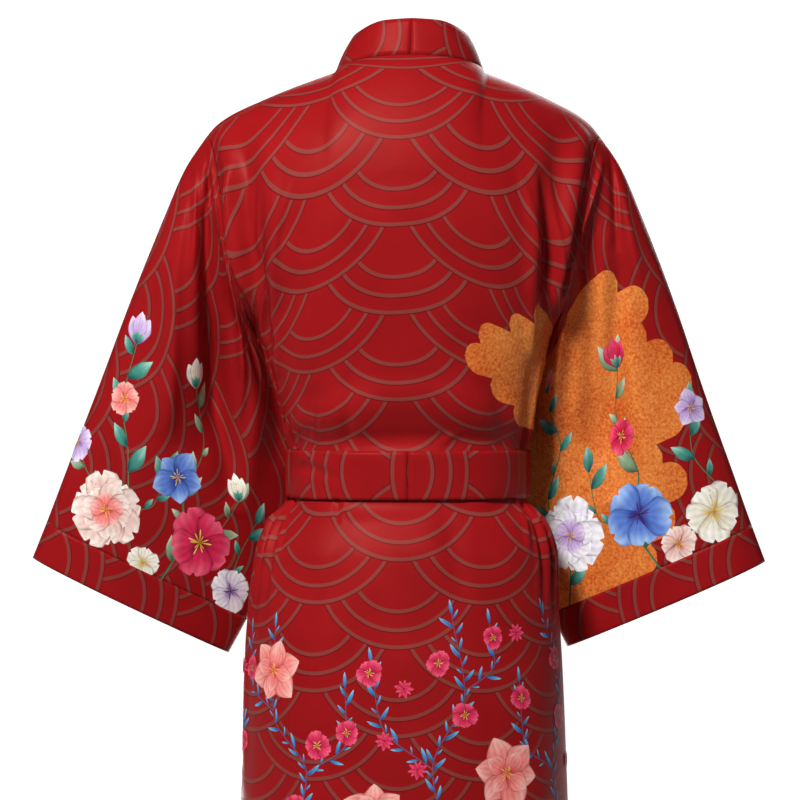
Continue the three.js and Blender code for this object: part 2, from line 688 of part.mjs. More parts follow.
// The belt's surface on one side of the body. q is 0 at the centre back and 1 at the centre front.
function beltPoint(q, w, hand, lift) {
  const t = mix(BELT_TOP, BELT_BOTTOM, w);
  const side = q < 0.5 ? "back" : "front";
  const u = q < 0.5 ? q * 2 : (1 - q) * 2;
  const overFront = smooth((q - BELT.overStart) / BELT.overRun);
  const out = BELT.clearance + overFront * (LAYER.lift + BAND_CROWN) + lift;
  return bodyPoint(u * hand, t, side, 0).add(levelNormal(u * hand, t, side).multiplyScalar(out));
}

// Level outward direction at a place on the body
function levelNormal(u, t, side) {
  const inner = plainPoint(clamp(u - PROBE.across, -1, 1), t, side);
  const way = plainPoint(clamp(u + PROBE.across, -1, 1), t, side).sub(inner);
  const normal = vector(way.y, -way.x, 0).normalize();
  return side === "back" ? normal.negate() : normal;
}

function addBelt(name, hand) {
  const places = [0, ...steps(0, 1, BELT.halfSegments)];
  const grid = [0, 1].map((w) => places.map((q) => beltPoint(q, w, hand, BELT.wall)));
  addCloth(name, grid, { wall: BELT.wall, flip: hand > 0 });
}

const beltFront = () => beltPoint(1, 0.5, 1, BELT.wall);

// The knot: a rounded lump, pinched where the belt passes round it
function addKnot() {
  const geometry = new THREE.SphereGeometry(1, KNOT.around, KNOT.up);
  geometry.rotateX(Math.PI / 2);
  const centre = beltFront();
  centre.y -= KNOT.halfDepth + SEAM_GAP;
  const position = geometry.getAttribute("position");
  for (let i = 0; i < position.count; i += 1) {
    const x = position.getX(i);
    const y = position.getY(i);
    const z = position.getZ(i);
    const squared = (value) => Math.sign(value) * Math.abs(value) ** KNOT.square;
    const waist = 1 - KNOT.pinch * Math.cos(Math.PI * x) * (1 - Math.abs(z));
    position.setXYZ(
      i,
      centre.x + KNOT.halfWidth * squared(x) * (1 - KNOT.taper * z),
      centre.y + KNOT.halfDepth * squared(y) * (y < 0 ? waist : 1),
      centre.z + KNOT.halfHeight * squared(z),
    );
  }
  return { name: "belt_knot", geometry };
}

// One hanging end of the belt, in front of the skirt
function addTail(name, hand) {
  const grid = [0, ...steps(0, 1, TAIL.rows)].map((w) => {
    const t = BELT_BOTTOM + TAIL.length * w;
    const half = mix(TAIL.topHalf, TAIL.endHalf, smooth(w / TAIL.widenBy));
    const spread = TAIL.spread * smooth(w / TAIL.widenBy / 2);
    const centre = hand * (TAIL.apart + spread + TAIL.lean * TAIL.length * w);
    return [-1, 0, 1].map((k) => {
      const u = (centre + half * k) / halfWidthAt(t);
      const wave = 1 + Math.sin(Math.PI * (TAIL.curls * w + TAIL.lag * hand));
      const curl = TAIL.curl * (1 - TAIL.cup * k * k) * wave;
      const emerge = TAIL.emerge * (1 - smooth(w / TAIL.widenBy));
      const point = frontPoint(u, t, 1);
      point.y -= TAIL.standOff + TAIL.wall + curl + emerge;
      return point;
    });
  });
  addCloth(name, grid, { wall: TAIL.wall });
}

addBack();
addFront("front_left", "front_left_skirt", 1);
addFront("front_right", "front_right_skirt", -1);
addNeckband("collar_left", "neckband_left", 1);
addNeckband("collar_right", "neckband_right", -1);
addSleeve("sleeve_left", "sleeve_left_lower", "cuff_left", 1);
addSleeve("sleeve_right", "sleeve_right_lower", "cuff_right", -1);
addBelt("belt_left", 1);
addBelt("belt_right", -1);
addTail("belt_end_left", 1);
addTail("belt_end_right", -1);

const robe = new THREE.Group();
robe.name = "kimono_robe";
for (const piece of pieces) {
  const mesh = new THREE.Mesh(clothGeometry(piece), satin.clone());
  mesh.name = piece.name;
  robe.add(mesh);
}
const knot = addKnot();
const knotMesh = new THREE.Mesh(knot.geometry, satin.clone());
knotMesh.name = knot.name;
robe.add(knotMesh);

export default robe;
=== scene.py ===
"""Looks of the kimono robe: satin cloth with a wave pattern and flower sprays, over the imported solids.

Shapes are worked out in millimetres in the solids' own frame and made in metres. A place on the body
is (u, t): u runs from the centre line (0) to the side (1 or -1) and t is the length of cloth down from
the shoulder line. A place on a sleeve is (s, c): s runs along it and c round it, 0 at the top edge,
1 at the underarm and 2 at the top edge again.
"""
import math

import bpy
import numpy as np
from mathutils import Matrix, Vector
from mathutils.bvhtree import BVHTree
from mathutils.interpolate import poly_3d_calc


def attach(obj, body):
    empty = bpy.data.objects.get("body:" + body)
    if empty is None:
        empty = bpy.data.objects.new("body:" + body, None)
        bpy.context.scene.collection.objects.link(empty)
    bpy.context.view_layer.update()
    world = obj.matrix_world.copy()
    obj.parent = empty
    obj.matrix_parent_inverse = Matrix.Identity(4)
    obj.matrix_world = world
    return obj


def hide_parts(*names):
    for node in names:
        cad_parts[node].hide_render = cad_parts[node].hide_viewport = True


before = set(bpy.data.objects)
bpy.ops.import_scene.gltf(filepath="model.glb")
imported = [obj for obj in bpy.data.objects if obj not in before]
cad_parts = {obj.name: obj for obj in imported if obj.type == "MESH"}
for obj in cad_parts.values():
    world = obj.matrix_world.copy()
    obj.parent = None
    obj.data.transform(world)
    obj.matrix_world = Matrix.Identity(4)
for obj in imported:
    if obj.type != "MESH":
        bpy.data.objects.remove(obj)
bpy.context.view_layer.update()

MM = 0.001
LEFT = 1
RIGHT = -1

# Sizes of the cut, as in the solids
HALF_WIDTH = 245
HEM_HALF_WIDTH = 275
NECK_HALF_WIDTH = 90
ARMHOLE_DEPTH = 255
YOKE_DEPTH = 155
BELT_TOP = 452
BELT_BOTTOM = 504
HEM = 1295
LAYER = {"lift": 5, "side_end": 218, "side_run": 40, "top_start": 60, "top_run": 110}
NECK = {"half_width": 80, "y": -4, "back_y": 58, "back_z": 13, "front_y": -62, "front_z": -60}


def table(columns, rows):
    """Rows of values under named columns."""
    return {name: np.array([row[i] for row in rows], float) for i, name in enumerate(columns)}


SHOULDER = table(["along", "x", "y", "z"], [
    (0, 80, -4, 0),
    (0.35, 128, -6, -18),
    (0.58, 160, -8, -32),
    (0.77, 185, -10, -44),
    (0.89, 202, -11, -56),
    (1, 214, -12, -70),
])
SWAY = table(
    ["z", "x"],
    [(-1300, 4.5), (-600, 4.5), (-460, 0), (-408, 0), (-250, 5), (-70, 5), (0, -2), (50, -4)],
)
BODY_COLUMNS = ["t", "back_y", "back_z", "front_y", "front_z", "side_x", "side_y", "side_z", "scye", "turn"]
BODY = table(BODY_COLUMNS, [
    (155, 106, -112, -118, -160, 186, -10, -207, 50, 60),
    (205, 110, -162, -126, -205, 173, -8, -252, 36, 72),
    (255, 108, -212, -125, -248, 157, -6, -290, 0, 90),
    (305, 104, -262, -117, -290, 149, -5, -322, 0, 90),
    (355, 98, -312, -107, -333, 141, -5, -352, 0, 90),
    (405, 95, -361, -102, -372, 135, -5, -382, 0, 90),
    (452, 84, -408, -93, -408, 124.5, -4, -408, 0, 90),
    (504, 84, -460, -93, -460, 124.5, -4, -460, 0, 90),
    (530, 96, -486, -104, -486, 147, -3, -486, 0, 90),
    (565, 108, -521, -111, -521, 161, -2, -521, 0, 90),
    (635, 119, -590, -117, -590, 168, 0, -590, 0, 90),
    (705, 126, -660, -119, -660, 172, 2, -660, 0, 90),
    (835, 131, -790, -125, -790, 177, 2, -790, 0, 90),
    (1065, 138, -1020, -132, -1020, 188, 2, -1020, 0, 90),
    (1295, 144, -1250, -139, -1250, 199, 2, -1250, 0, 90),
])
# Powers of a level section's outline, of its drop towards the side and of its gathering there
ROUNDNESS = {"back": 2.25, "front": 2.5}
SAG = 1.6
GATHER_POWER = 2.8
NECK_ROLL = 0.45
FRONT_EDGE = table(
    ["t", "x"],
    [(0, 90), (100, 84), (200, 60), (300, 12), (400, -46), (504, -84), (700, -100), (1295, -106)],
)
SLEEVE = table(["s", "top_x", "top_y", "top_z", "under_x", "under_y", "under_z", "thick"], [
    (0, 214, -12, -70, 157, -6, -290, 46),
    (0.08, 236, -13, -103, 152, -26, -318, 44),
    (0.19, 259, -15, -155, 140, -50, -352, 42),
    (0.4, 299, -19, -254, 122, -80, -420, 40),
    (0.58, 330, -24, -336, 124, -92, -474, 38),
    (0.78, 365, -28, -426, 145, -92, -538, 37),
    (0.91, 388, -31, -486, 172, -88, -596, 37),
    (1, 404, -32, -526, 193, -84, -635, 37),
])
CUFF_START = 0.913
ARM = {LEFT: {"swing": 0, "rise": 2, "tuck": 1}, RIGHT: {"swing": 1.2, "rise": 8, "tuck": 0.3}}
# The underarm edge tucks in before the body's side
TUCK = {"x": -13, "y": -15, "start": 0.02, "run": 0.55, "spread": 0.36, "power": 0.6}
SLEEVE_SKEW = 0.3
SLEEVE_EVEN = 0.72
SLEEVE_DROP = {"across": 60, "down": 120}
ARM_TURN = 1.4
ARMHOLE_BLEND = 0.22
COLLAR = table(["share", "x", "y", "z"], [
    (0, 0, 49, 53),
    (0.3, 30, 44, 51),
    (0.62, 54, 22, 43),
    (0.88, 64, 0, 36),
    (1, 65, -12, 31),
    (1.25, 60, -40, 8),
    (1.6, 51, -68, -36),
])
COLLAR_END = 100
BAND_WIDTH = 50
BAND_CROWN = 1.4
CROWN_RUN = 30
CUFF_DEPTH = 42

# Folds that are in the solids too: straight in cut places, depth positive for a ridge and negative for
# a trough. The half width is in millimetres on the body and a share of the way round on a sleeve.
SEAM_FADE = 0.05
TOP_FADE = 40
END_FADE_POWER = 0.7
FOLD_COLUMNS = ["u0", "t0", "u1", "t1", "depth", "width"]
BACK_FOLDS = table(FOLD_COLUMNS, [
    (0.93, 30, 0.84, 250, 9, 13),
    (0.8, 70, 0.76, 300, -9, 16),
    (0.66, 110, 0.7, 330, 6, 13),
    (-0.93, 30, -0.85, 240, 8, 13),
    (-0.79, 60, -0.78, 300, -9, 16),
    (-0.64, 100, -0.7, 310, 6, 12),
    (0.45, 360, 0.5, 452, -5, 18),
    (-0.42, 350, -0.5, 452, -5, 18),
    (0, 360, 0, 452, -4, 44),
])
FRONT_FOLDS = table(FOLD_COLUMNS, [
    (0.9, 60, 0.72, 300, 7, 15),
    (0.76, 120, 0.6, 380, -6, 17),
    (-0.9, 60, -0.72, 300, 7, 15),
    (-0.76, 120, -0.6, 380, -6, 17),
])
GATHERS = {
    "back": {"start": 0.62, "end": 0.98, "waves": 4, "depth": 5.5, "above": 60, "below": 130},
    "front": {"start": 0.7, "end": 0.97, "waves": 2.5, "depth": 4, "above": 50, "below": 110},
}
GATHER_PEAK = 0.45
FLUTES = {"waves": 5, "offset": 0.1, "back": 9, "front": 5.5, "start": 620}
SLEEVE_FOLDS = table(["c0", "s0", "c1", "s1", "depth", "width"], [
    (0.42, 0.04, 0.52, 0.62, -13, 0.07),
    (0.28, 0.1, 0.3, 0.8, 7, 0.09),
    (0.66, 0.02, 0.7, 0.7, 9, 0.08),
    (0.84, 0.02, 0.84, 0.5, -7, 0.06),
    (1.6, 0.08, 1.5, 0.7, -9, 0.1),
    (1.3, 0.05, 1.3, 0.6, 7, 0.09),
])

# Folds that are not in the solids, the sleeves' deepest ones among them, in millimetres of cloth: across
# and down on the body, along and round on a sleeve. Each runs from one place to another with its
# middle moved aside by the bend.
CREASE_COLUMNS = ["x0", "y0", "x1", "y1", "bend", "depth", "width"]
SLEEVE_LENGTH = 540
SLEEVE_ROUND = 262
CREASE_SEAM_FADE = 5
CREASE_EDGE_FADE = 14
BACK_CREASES = table(CREASE_COLUMNS, [
    (216, 86, 210, 205, 16, 8, 6.5),
    (212, 104, 209, 245, -4, -9, 8),
    (182, 118, 187, 180, 4, 3.5, 5),
    (136, 132, 160, 208, 6, 4, 5),
    (168, 185, 214, 275, 6, 4.5, 6),
    (150, 250, 190, 370, 3, 3, 8),
    (66, 355, 66, 455, 0, -3.5, 7),
    (100, 385, 112, 455, 0, 2.5, 8),
    (-30, 448, -54, 432, 0, 3, 4),
    (-243, 92, -214, 215, 0, -7, 8),
    (228, 200, 206, 420, 4, -7, 13),
    (-214, 210, -203, 400, 0, -6, 12),
    (-238, 132, -229, 235, 3, 5, 6),
    (-184, 106, -221, 220, -3, 5.5, 5.5),
    (-168, 110, -206, 228, -3, -7, 8),
    (-138, 120, -172, 180, 0, 3, 6),
    (-203, 205, -181, 456, 0, 4.5, 6),
    (-172, 290, -164, 456, 0, -3, 9),
    (180, 500, 222, 560, 0, 3, 4.5),
    (174, 500, 198, 566, 0, -3, 4.5),
    (168, 500, 177, 572, 0, 3, 4.5),
    (159, 500, 152, 560, 0, -3, 4.5),
    (-150, 500, -143, 560, 0, 3, 4.5),
    (-158, 500, -156, 572, 0, -3, 4.5),
    (-170, 500, -176, 576, 0, 3, 4.5),
    (-182, 500, -200, 566, 0, -3, 4.5),
    (78, 500, 80, 530, 0, -3, 3.5),
    (71, 500, 72, 528, 0, 2.2, 3.5),
    (134, 510, 76, 512, 0, 2, 4),
    (-62, 509, -98, 511, 0, 2, 4),
    (222, 585, 198, 820, 0, 3, 9),
    (-40, 505, -62, 620, 0, -2.5, 14),
    (150, 404, -150, 400, -8, 6, 22),
    (120, 441, -124, 440, 0, -3.5, 10),
    (62, 540, 96, 660, 0, -2, 14),
    (176, 476, 70, 484, -8, -2.8, 4.5),
    (176, 466, 76, 474, -8, 2, 4.5),
])
FRONT_CREASES = table(CREASE_COLUMNS, [
    (218, 84, 208, 205, 13, 6.5, 7),
    (200, 100, 192, 240, -3, -6.5, 9),
    (160, 150, 172, 300, 4, 4, 8),
    (-217, 90, -206, 215, -14, 6, 7),
    (-198, 104, -188, 250, 3, -6, 9),
    (-150, 160, -168, 290, 0, 3.5, 7),
    (176, 500, 214, 566, 0, 3, 5),
    (166, 500, 180, 572, 0, -3, 5),
    (-168, 500, -176, 570, 0, 3, 5),
    (-180, 500, -206, 560, 0, -3, 5),
])
LEFT_SLEEVE_CREASES = table(CREASE_COLUMNS, [
    (2, 38, 32, 172, 8, 8, 6.5),
    (28, 166, 240, 160, 0, 7, 7),
    (30, 190, 150, 196, 4, -5, 7),
    (34, 20, 130, 64, -16, 4, 7),
    (14, 40, 34, 100, 2, -5, 6),
    (42, 50, 36, 102, 2, 3, 5),
    (50, 22, 330, 92, 0, 8, 15),
    (-30, 56, 370, 180, 0, -19, 15),
    (12, 130, 32, 228, 0, 5, 7),
    (150, 164, 330, 176, 0, -5, 13),
    (150, 18, 268, 62, 0, -3, 10),
    (120, 34, 320, 92, 0, 3, 10),
    (60, 450, 335, 402, 0, -7, 12),
    (18, 424, 170, 400, 0, 5, 8),
    (4, 474, 32, 352, 8, 6.5, 7),
    (150, 350, 330, 362, 0, -4, 13),
])
RIGHT_SLEEVE_CREASES = table(CREASE_COLUMNS, [
    (17, 30, 3, 140, 14, 8, 6.5),
    (22, 6, 104, 60, -8, -7, 8),
    (54, 12, 155, 30, -4, 4, 7),
    (84, 56, 390, 132, -4, -15, 19),
    (50, 108, 330, 160, 0, 7, 16),
    (18, 140, 152, 118, 0, -4, 10),
    (40, 172, 250, 168, 0, 4, 10),
    (230, 150, 400, 166, 0, -3, 16),
    (60, 456, 335, 410, 0, -6, 13),
    (20, 420, 180, 398, 0, 5, 8),
    (4, 476, 30, 356, 8, 6.5, 7),
])
BELT = {"clearance": 0.8, "wall": 2.4, "over_start": 0.52, "over_run": 0.08}
KNOT = {
    "half_width": 26,
    "half_depth": 15,
    "half_height": 27,
    "off_belt": 0.5,
    "squareness": 0.78,
    "narrowing": 0.1,
    "shrink": 0.97,
    "depth_shrink": 0.96,
    "around": 96,
    "rings": 61,
}
KNOT_FOLDS = {
    "lean": 4.2,
    "rise": 1.6,
    "sway": 0.6,
    "sways": 2.2,
    "pace": 2.1,
    "depth": 0.055,
    "waist": 0.16,
}
TAIL = {
    "length": 430,
    "top_half": 12,
    "end_half": 25,
    "widen_by": 0.2,
    "apart": 14,
    "spread": 20,
    "lean": 0.05,
    "stand_off": 3,
    "wall": 2.2,
    "emerge": 9,
    "curl": 3,
    "curls": 2.2,
    "lag": 0.4,
    "cup": 0.6,
}

# Sizes of the visible mesh: its steps, the lengths that they are shares of and its counts
BODY_STEP = 3.5
SKIRT_STEP = 5.5
FINE_END = 660  # longer steps from here down
FRONT_SPAN = 305
SLEEVE_STEP = 3.5
SLEEVE_SPAN = 490
BAND_COLUMNS = 9
BELT_ROWS = 13
BELT_STEP = 4
BELT_SPAN = 330
TAIL_STEP = 5
SECTION_SAMPLES = 160
CLOTH_THICKNESS = 0.9
BAND_THICKNESS = 2.2
# Steps either way over which a slope is measured
U_STEP = 0.004
T_STEP = 1
EDGE_STEP = 2


def mix(a, b, w):
    return a + (b - a) * w


def smooth(x):
    x = np.clip(x, 0, 1)
    return x * x * (3 - 2 * x)


def curve_value(tab, column, at):
    """Smooth value of a column of a table at a place in its first one. It never overshoots the rows."""
    xs = next(iter(tab.values()))
    ys = tab[column]
    x = np.clip(np.asarray(at, float), xs[0], xs[-1])
    i = np.clip(np.searchsorted(xs, x, side="right") - 1, 0, len(xs) - 2)
    secants = np.diff(ys) / np.diff(xs)
    before = secants[:-1]
    after = secants[1:]
    same_way = before * after > 0
    total = np.where(same_way, before + after, 1)
    inner = np.where(same_way, 2 * before * after / total, 0)
    slopes = np.concatenate([secants[:1], inner, secants[-1:]])
    span = xs[i + 1] - xs[i]
    w = (x - xs[i]) / span
    w2 = w * w
    w3 = w2 * w
    value = ys[i] * (2 * w3 - 3 * w2 + 1) + ys[i + 1] * (3 * w2 - 2 * w3)
    return value + slopes[i] * span * (w3 - 2 * w2 + w) + slopes[i + 1] * span * (w3 - w2)


def half_width_at(t):
    return mix(HALF_WIDTH, HEM_HALF_WIDTH, smooth((t - BELT_BOTTOM) / (HEM - BELT_BOTTOM)))


def sway_at(z):
    return curve_value(SWAY, "x", z)


def unit(v):
    return v / np.maximum(np.linalg.norm(v, axis=-1, keepdims=True), 1e-9)


def stack(*parts):
    return np.stack(np.broadcast_arrays(*parts), axis=-1)


SECTIONS = {}


def section_curve(t, side):
    """Centre-to-side curve of a level section, with its length so far."""
    key = (side, round(float(t), 4))
    if key in SECTIONS:
        return SECTIONS[key]

    def value(column):
        return float(curve_value(BODY, column, t))

    sign = 1 if side == "back" else -1
    turn = math.radians(value("turn"))
    angle = turn * np.linspace(0, 1, SECTION_SAMPLES + 1)
    across = (np.sin(angle) / math.sin(turn)) ** (2 / ROUNDNESS[side])
    inward = np.maximum(np.cos(angle) - math.cos(turn), 0) / (1 - math.cos(turn))
    edge_y = value("side_y") + sign * value("scye")
    x = value("side_x") * across
    y = edge_y + (value(side + "_y") - edge_y) * inward ** (2 / ROUNDNESS[side])
    z = mix(value(side + "_z"), value("side_z"), across**SAG)
    points = stack(x, y, z)
    steps = np.linalg.norm(np.diff(points, axis=0), axis=1)
    SECTIONS[key] = (points, np.concatenate([[0], np.cumsum(steps)]))
    return SECTIONS[key]


def section_point(u, t, side):
    """Points of level sections, for flat arrays. The middle keeps its width and the sides gather."""
    points = np.empty((len(u), 3))
    order = np.argsort(t, kind="stable")
    starts = np.flatnonzero(np.diff(t[order], prepend=np.nan) != 0)
    for where in np.split(order, starts[1:]):
        level = t[where[0]]
        curve, length = section_curve(level, side)
        total = length[-1]
        fullness = half_width_at(level) / total
        share = u[where]
        if fullness > 1:
            share = share * fullness - (fullness - 1) * share**GATHER_POWER
        target = np.clip(share, 0, 1) * total
        for axis in range(3):
            points[where, axis] = np.interp(target, length, curve[:, axis])
    return points


def top_point(x, side):
    """The neckline and the shoulder line at cut distances x from the centre."""
    angle = math.pi / 2 * np.minimum(x / NECK_HALF_WIDTH, 1)
    reach = NECK[side + "_y"] - NECK["y"]
    neck = stack(
        NECK["half_width"] * np.sin(angle),
        NECK["y"] + reach * np.cos(angle),
        NECK[side + "_z"] * np.cos(angle),
    )
    along = (x - NECK_HALF_WIDTH) / (HALF_WIDTH - NECK_HALF_WIDTH)
    shoulder = stack(*(curve_value(SHOULDER, column, along) for column in "xyz"))
    return np.where((x <= NECK_HALF_WIDTH)[:, None], neck, shoulder)


def plain_point(u, t, side):
    across = np.abs(u)
    lower = section_point(across, np.maximum(t, YOKE_DEPTH), side)
    top = top_point(across * HALF_WIDTH, side)
    w = np.minimum(t / YOKE_DEPTH, 1)
    roll = mix(NECK_ROLL, 1, smooth(across * HALF_WIDTH / NECK_HALF_WIDTH))
    outward = mix(w, np.sin(math.pi / 2 * w), roll)
    down = mix(w, 1 - np.cos(math.pi / 2 * w), roll)
    points = top + (lower - top) * stack(w, outward, down)
    points[:, 0] = np.where(u < 0, -points[:, 0], points[:, 0])
    points[:, 0] += sway_at(points[:, 2])
    return points


def fold_profile(distance, width):
    return np.exp(-((distance / width) ** 2))


def fold_fade(along):
    return np.sin(math.pi * np.clip(along, 0, 1)) ** END_FADE_POWER


def folds_at(folds, u, t, unit_width):
    height = np.zeros(len(u))
    for u0, t0, u1, t1, depth, width in zip(*folds.values()):
        along = (t - t0) / (t1 - t0)
        distance = (u - mix(u0, u1, np.clip(along, 0, 1))) * unit_width
        height += depth * fold_profile(distance, width) * fold_fade(along)
    return height


def creases_at(creases, x, y):
    height = np.zeros(len(x))
    for x0, y0, x1, y1, bend, depth, width in zip(*creases.values()):
        length = math.hypot(x1 - x0, y1 - y0)
        way_x = (x1 - x0) / length
        way_y = (y1 - y0) / length
        along = ((x - x0) * way_x + (y - y0) * way_y) / length
        aside = (x - x0) * way_y - (y - y0) * way_x - 4 * bend * along * (1 - along)
        height += depth * fold_profile(aside, width) * fold_fade(along)
    return height


def gathers_at(u, t, side):
    row = GATHERS[side]
    place = (np.abs(u) - row["start"]) / (row["end"] - row["start"])
    away = np.where(t < BELT_TOP, (BELT_TOP - t) / row["above"], (t - BELT_BOTTOM) / row["below"])
    inside = (place > 0) & (place < 1) & (away > 0) & (away < 1)
    place = np.clip(place, 0, 1)
    fade = np.sin(math.pi * np.clip(away, 0, 1) ** GATHER_PEAK)
    wave = np.sin(math.pi * place) ** 0.5 * np.sin(2 * math.pi * row["waves"] * place)
    return np.where(inside, row["depth"] * fade * wave, 0)


def flutes_at(u, t, side):
    growth = smooth((t - FLUTES["start"]) / (HEM - FLUTES["start"]))
    wave = np.sin(math.pi * FLUTES["waves"] * (np.abs(u) + FLUTES["offset"]))
    return FLUTES[side] * growth * np.sin(math.pi * u) * wave


def layer_at(u, t):
    """How far the upper front, on the wearer's left, stands off the one under it."""
    x = u * half_width_at(t)
    across = smooth((LAYER["side_end"] - x) / LAYER["side_run"])
    return LAYER["lift"] * across * smooth((t - LAYER["top_start"]) / LAYER["top_run"])


def body_normal(u, t, side):
    inner = np.clip(u - U_STEP, -1, 1)
    outer = np.clip(u + U_STEP, -1, 1)
    across = plain_point(outer, t, side) - plain_point(inner, t, side)
    lower = plain_point(u, np.minimum(t + T_STEP, HEM), side)
    down = lower - plain_point(u, np.maximum(t - T_STEP, 0), side)
    normal = np.cross(across, down) if side == "back" else np.cross(down, across)
    return unit(normal)


def body_point(u, t, side, lift=0):
    """The body's outer surface with its folds, for flat arrays. lift moves it outwards."""
    u = np.asarray(u, float)
    t = np.broadcast_to(np.asarray(t, float), u.shape)
    fade = smooth((1 - np.abs(u)) / SEAM_FADE) * smooth(t / TOP_FADE)
    folds = folds_at(BACK_FOLDS if side == "back" else FRONT_FOLDS, u, t, HALF_WIDTH)
    height = (folds + gathers_at(u, t, side) + flutes_at(u, t, side)) * fade
    creases = creases_at(BACK_CREASES if side == "back" else FRONT_CREASES, u * HALF_WIDTH, t)
    height += creases * smooth((1 - np.abs(u)) * HALF_WIDTH / CREASE_SEAM_FADE)
    return plain_point(u, t, side) + body_normal(u, t, side) * (height + lift)[:, None]


def front_point(u, t, hand, lift=0):
    u = np.asarray(u, float)
    t = np.broadcast_to(np.asarray(t, float), u.shape)
    layer = layer_at(u, t) if hand == LEFT else 0
    return body_point(u * hand, t, "front", layer + lift)


def edge_x(t):
    return curve_value(FRONT_EDGE, "x", t)


def edge_u(t):
    return edge_x(t) / half_width_at(t)


def free_edge_u(t):
    lower = edge_x(np.minimum(t + EDGE_STEP, HEM))
    slope = (lower - edge_x(np.maximum(t - EDGE_STEP, 0))) / (2 * EDGE_STEP)
    return (edge_x(t) - BAND_WIDTH * np.sqrt(1 + slope * slope)) / half_width_at(t)


def collar_free(share, hand):
    x, y, z = (curve_value(COLLAR, column, share) for column in "xyz")
    return stack(hand * x + sway_at(z), y, z)


def sleeve_section(s, c, hand):
    """Points of a sleeve before it is fitted to the armhole, for flat arrays."""

    def value(column):
        return curve_value(SLEEVE, column, s)

    top = stack(value("top_x"), value("top_y"), value("top_z"))
    under = stack(value("under_x"), value("under_y"), value("under_z"))
    pivot = np.array([SLEEVE["top_x"][0], SLEEVE["top_y"][0], SLEEVE["top_z"][0]])
    angle = np.radians(ARM[hand]["swing"] * smooth(s * ARM_TURN))

    def swung(points):
        x, y, z = (points - pivot).T
        turned = stack(x * np.cos(angle) + z * np.sin(angle), y, z * np.cos(angle) - x * np.sin(angle))
        return turned + pivot

    top = swung(top)
    under = swung(under)
    under[:, 2] += ARM[hand]["rise"] * s * s
    to_under = np.where(c <= 1, c, 2 - c)
    place = mix((1 - np.cos(math.pi * to_under)) / 2, to_under, SLEEVE_EVEN)
    rounded = 2 * np.sqrt(np.maximum(place * (1 - place), 0))
    way = under - top
    axis = stack(
        top[:, 0] - pivot[0] + SLEEVE_DROP["across"], 0, top[:, 2] - pivot[2] - SLEEVE_DROP["down"]
    )
    outward = unit(np.cross(way, unit(axis)))
    outward *= np.where(outward[:, 1:2] < 0, -1, 1)
    bulge = value("thick") * rounded * (1 + SLEEVE_SKEW * (1 - 2 * place))
    face = np.where(c <= 1, 1, -1)
    folds = folds_at(SLEEVE_FOLDS, c, s, 1) + sleeve_creases(s, c, hand)
    points = top + way * place[:, None] + outward * (face * (bulge + folds))[:, None]
    tuck = np.sin(math.pi * np.clip((s - TUCK["start"]) / TUCK["run"], 0, 1) ** TUCK["power"])
    tuck = tuck * smooth(1 - np.abs(1 - c) / TUCK["spread"]) * ARM[hand]["tuck"]
    points[:, 0] += TUCK["x"] * tuck
    points[:, 1] += TUCK["y"] * tuck
    points[:, 0] = hand * points[:, 0] + sway_at(pivot[2])
    return points


def sleeve_creases(s, c, hand):
    creases = LEFT_SLEEVE_CREASES if hand == LEFT else RIGHT_SLEEVE_CREASES
    to_edge = np.minimum(np.minimum(c, np.abs(1 - c)), 2 - c) * SLEEVE_ROUND
    fade = smooth(s * SLEEVE_LENGTH / CREASE_SEAM_FADE) * smooth(to_edge / CREASE_EDGE_FADE)
    return creases_at(creases, s * SLEEVE_LENGTH, c * SLEEVE_ROUND) * fade


def armhole_point(c, hand):
    t = ARMHOLE_DEPTH * np.where(c <= 1, c, 2 - c)
    u = np.full(len(c), float(hand))
    back = body_point(u, t, "back")
    front = body_point(u, t, "front")
    return np.where((c <= 1)[:, None], back, front)


def sleeve_point(s, c, hand):
    held = 1 - smooth(s / ARMHOLE_BLEND)
    shift = armhole_point(c, hand) - sleeve_section(np.zeros(len(c)), c, hand)
    return sleeve_section(s, c, hand) + shift * held[:, None]


def belt_point(q, w, hand, lift):
    """The belt on one side of the body. q is 0 at the centre back and 1 at the centre front."""
    t = mix(BELT_TOP, BELT_BOTTOM, w)
    u = np.where(q < 0.5, q * 2, (1 - q) * 2) * hand
    over_front = smooth((q - BELT["over_start"]) / BELT["over_run"])
    out = BELT["clearance"] + over_front * (LAYER["lift"] + BAND_CROWN) + lift
    points = np.empty((len(q), 3))
    for side, where in (("back", q < 0.5), ("front", q >= 0.5)):
        if not where.any():
            continue
        inner = plain_point(np.clip(u[where] - U_STEP, -1, 1), t[where], side)
        outer = plain_point(np.clip(u[where] + U_STEP, -1, 1), t[where], side)
        way = outer - inner
        normal = unit(stack(way[:, 1], -way[:, 0], 0)) * (-1 if side == "back" else 1)
        points[where] = body_point(u[where], t[where], side) + normal * out[where][:, None]
    return points


def quads_of(index):
    """Four-cornered faces of a grid of point numbers."""
    return stack(index[:-1, :-1], index[1:, :-1], index[1:, 1:], index[:-1, 1:]).reshape(-1, 4)


class Panel:
    """A piece of cloth as a grid of points, with its cut-plane places in millimetres."""

    def __init__(self, name, points, cut, closed=False, flip=False):
        self.name = name
        self.points = points
        self.cut = cut
        self.closed = closed
        self.flip = flip

    def faces(self):
        rows, columns = self.points.shape[:2]
        index = np.arange(rows * columns).reshape(rows, columns)
        if self.closed:
            index = np.concatenate([index, index[:, :1]], axis=1)
        faces = quads_of(index)
        return faces[:, ::-1] if self.flip else faces


def grid_of(function, rows, columns, *rest):
    """Calls a function of two flat arrays on every place of a grid."""
    a, b = np.broadcast_arrays(rows, columns)
    return function(a.ravel().astype(float), b.ravel().astype(float), *rest).reshape(a.shape + (3,))


def even(start, end, step):
    return np.linspace(start, end, int(round(abs(end - start) / step)) + 1)


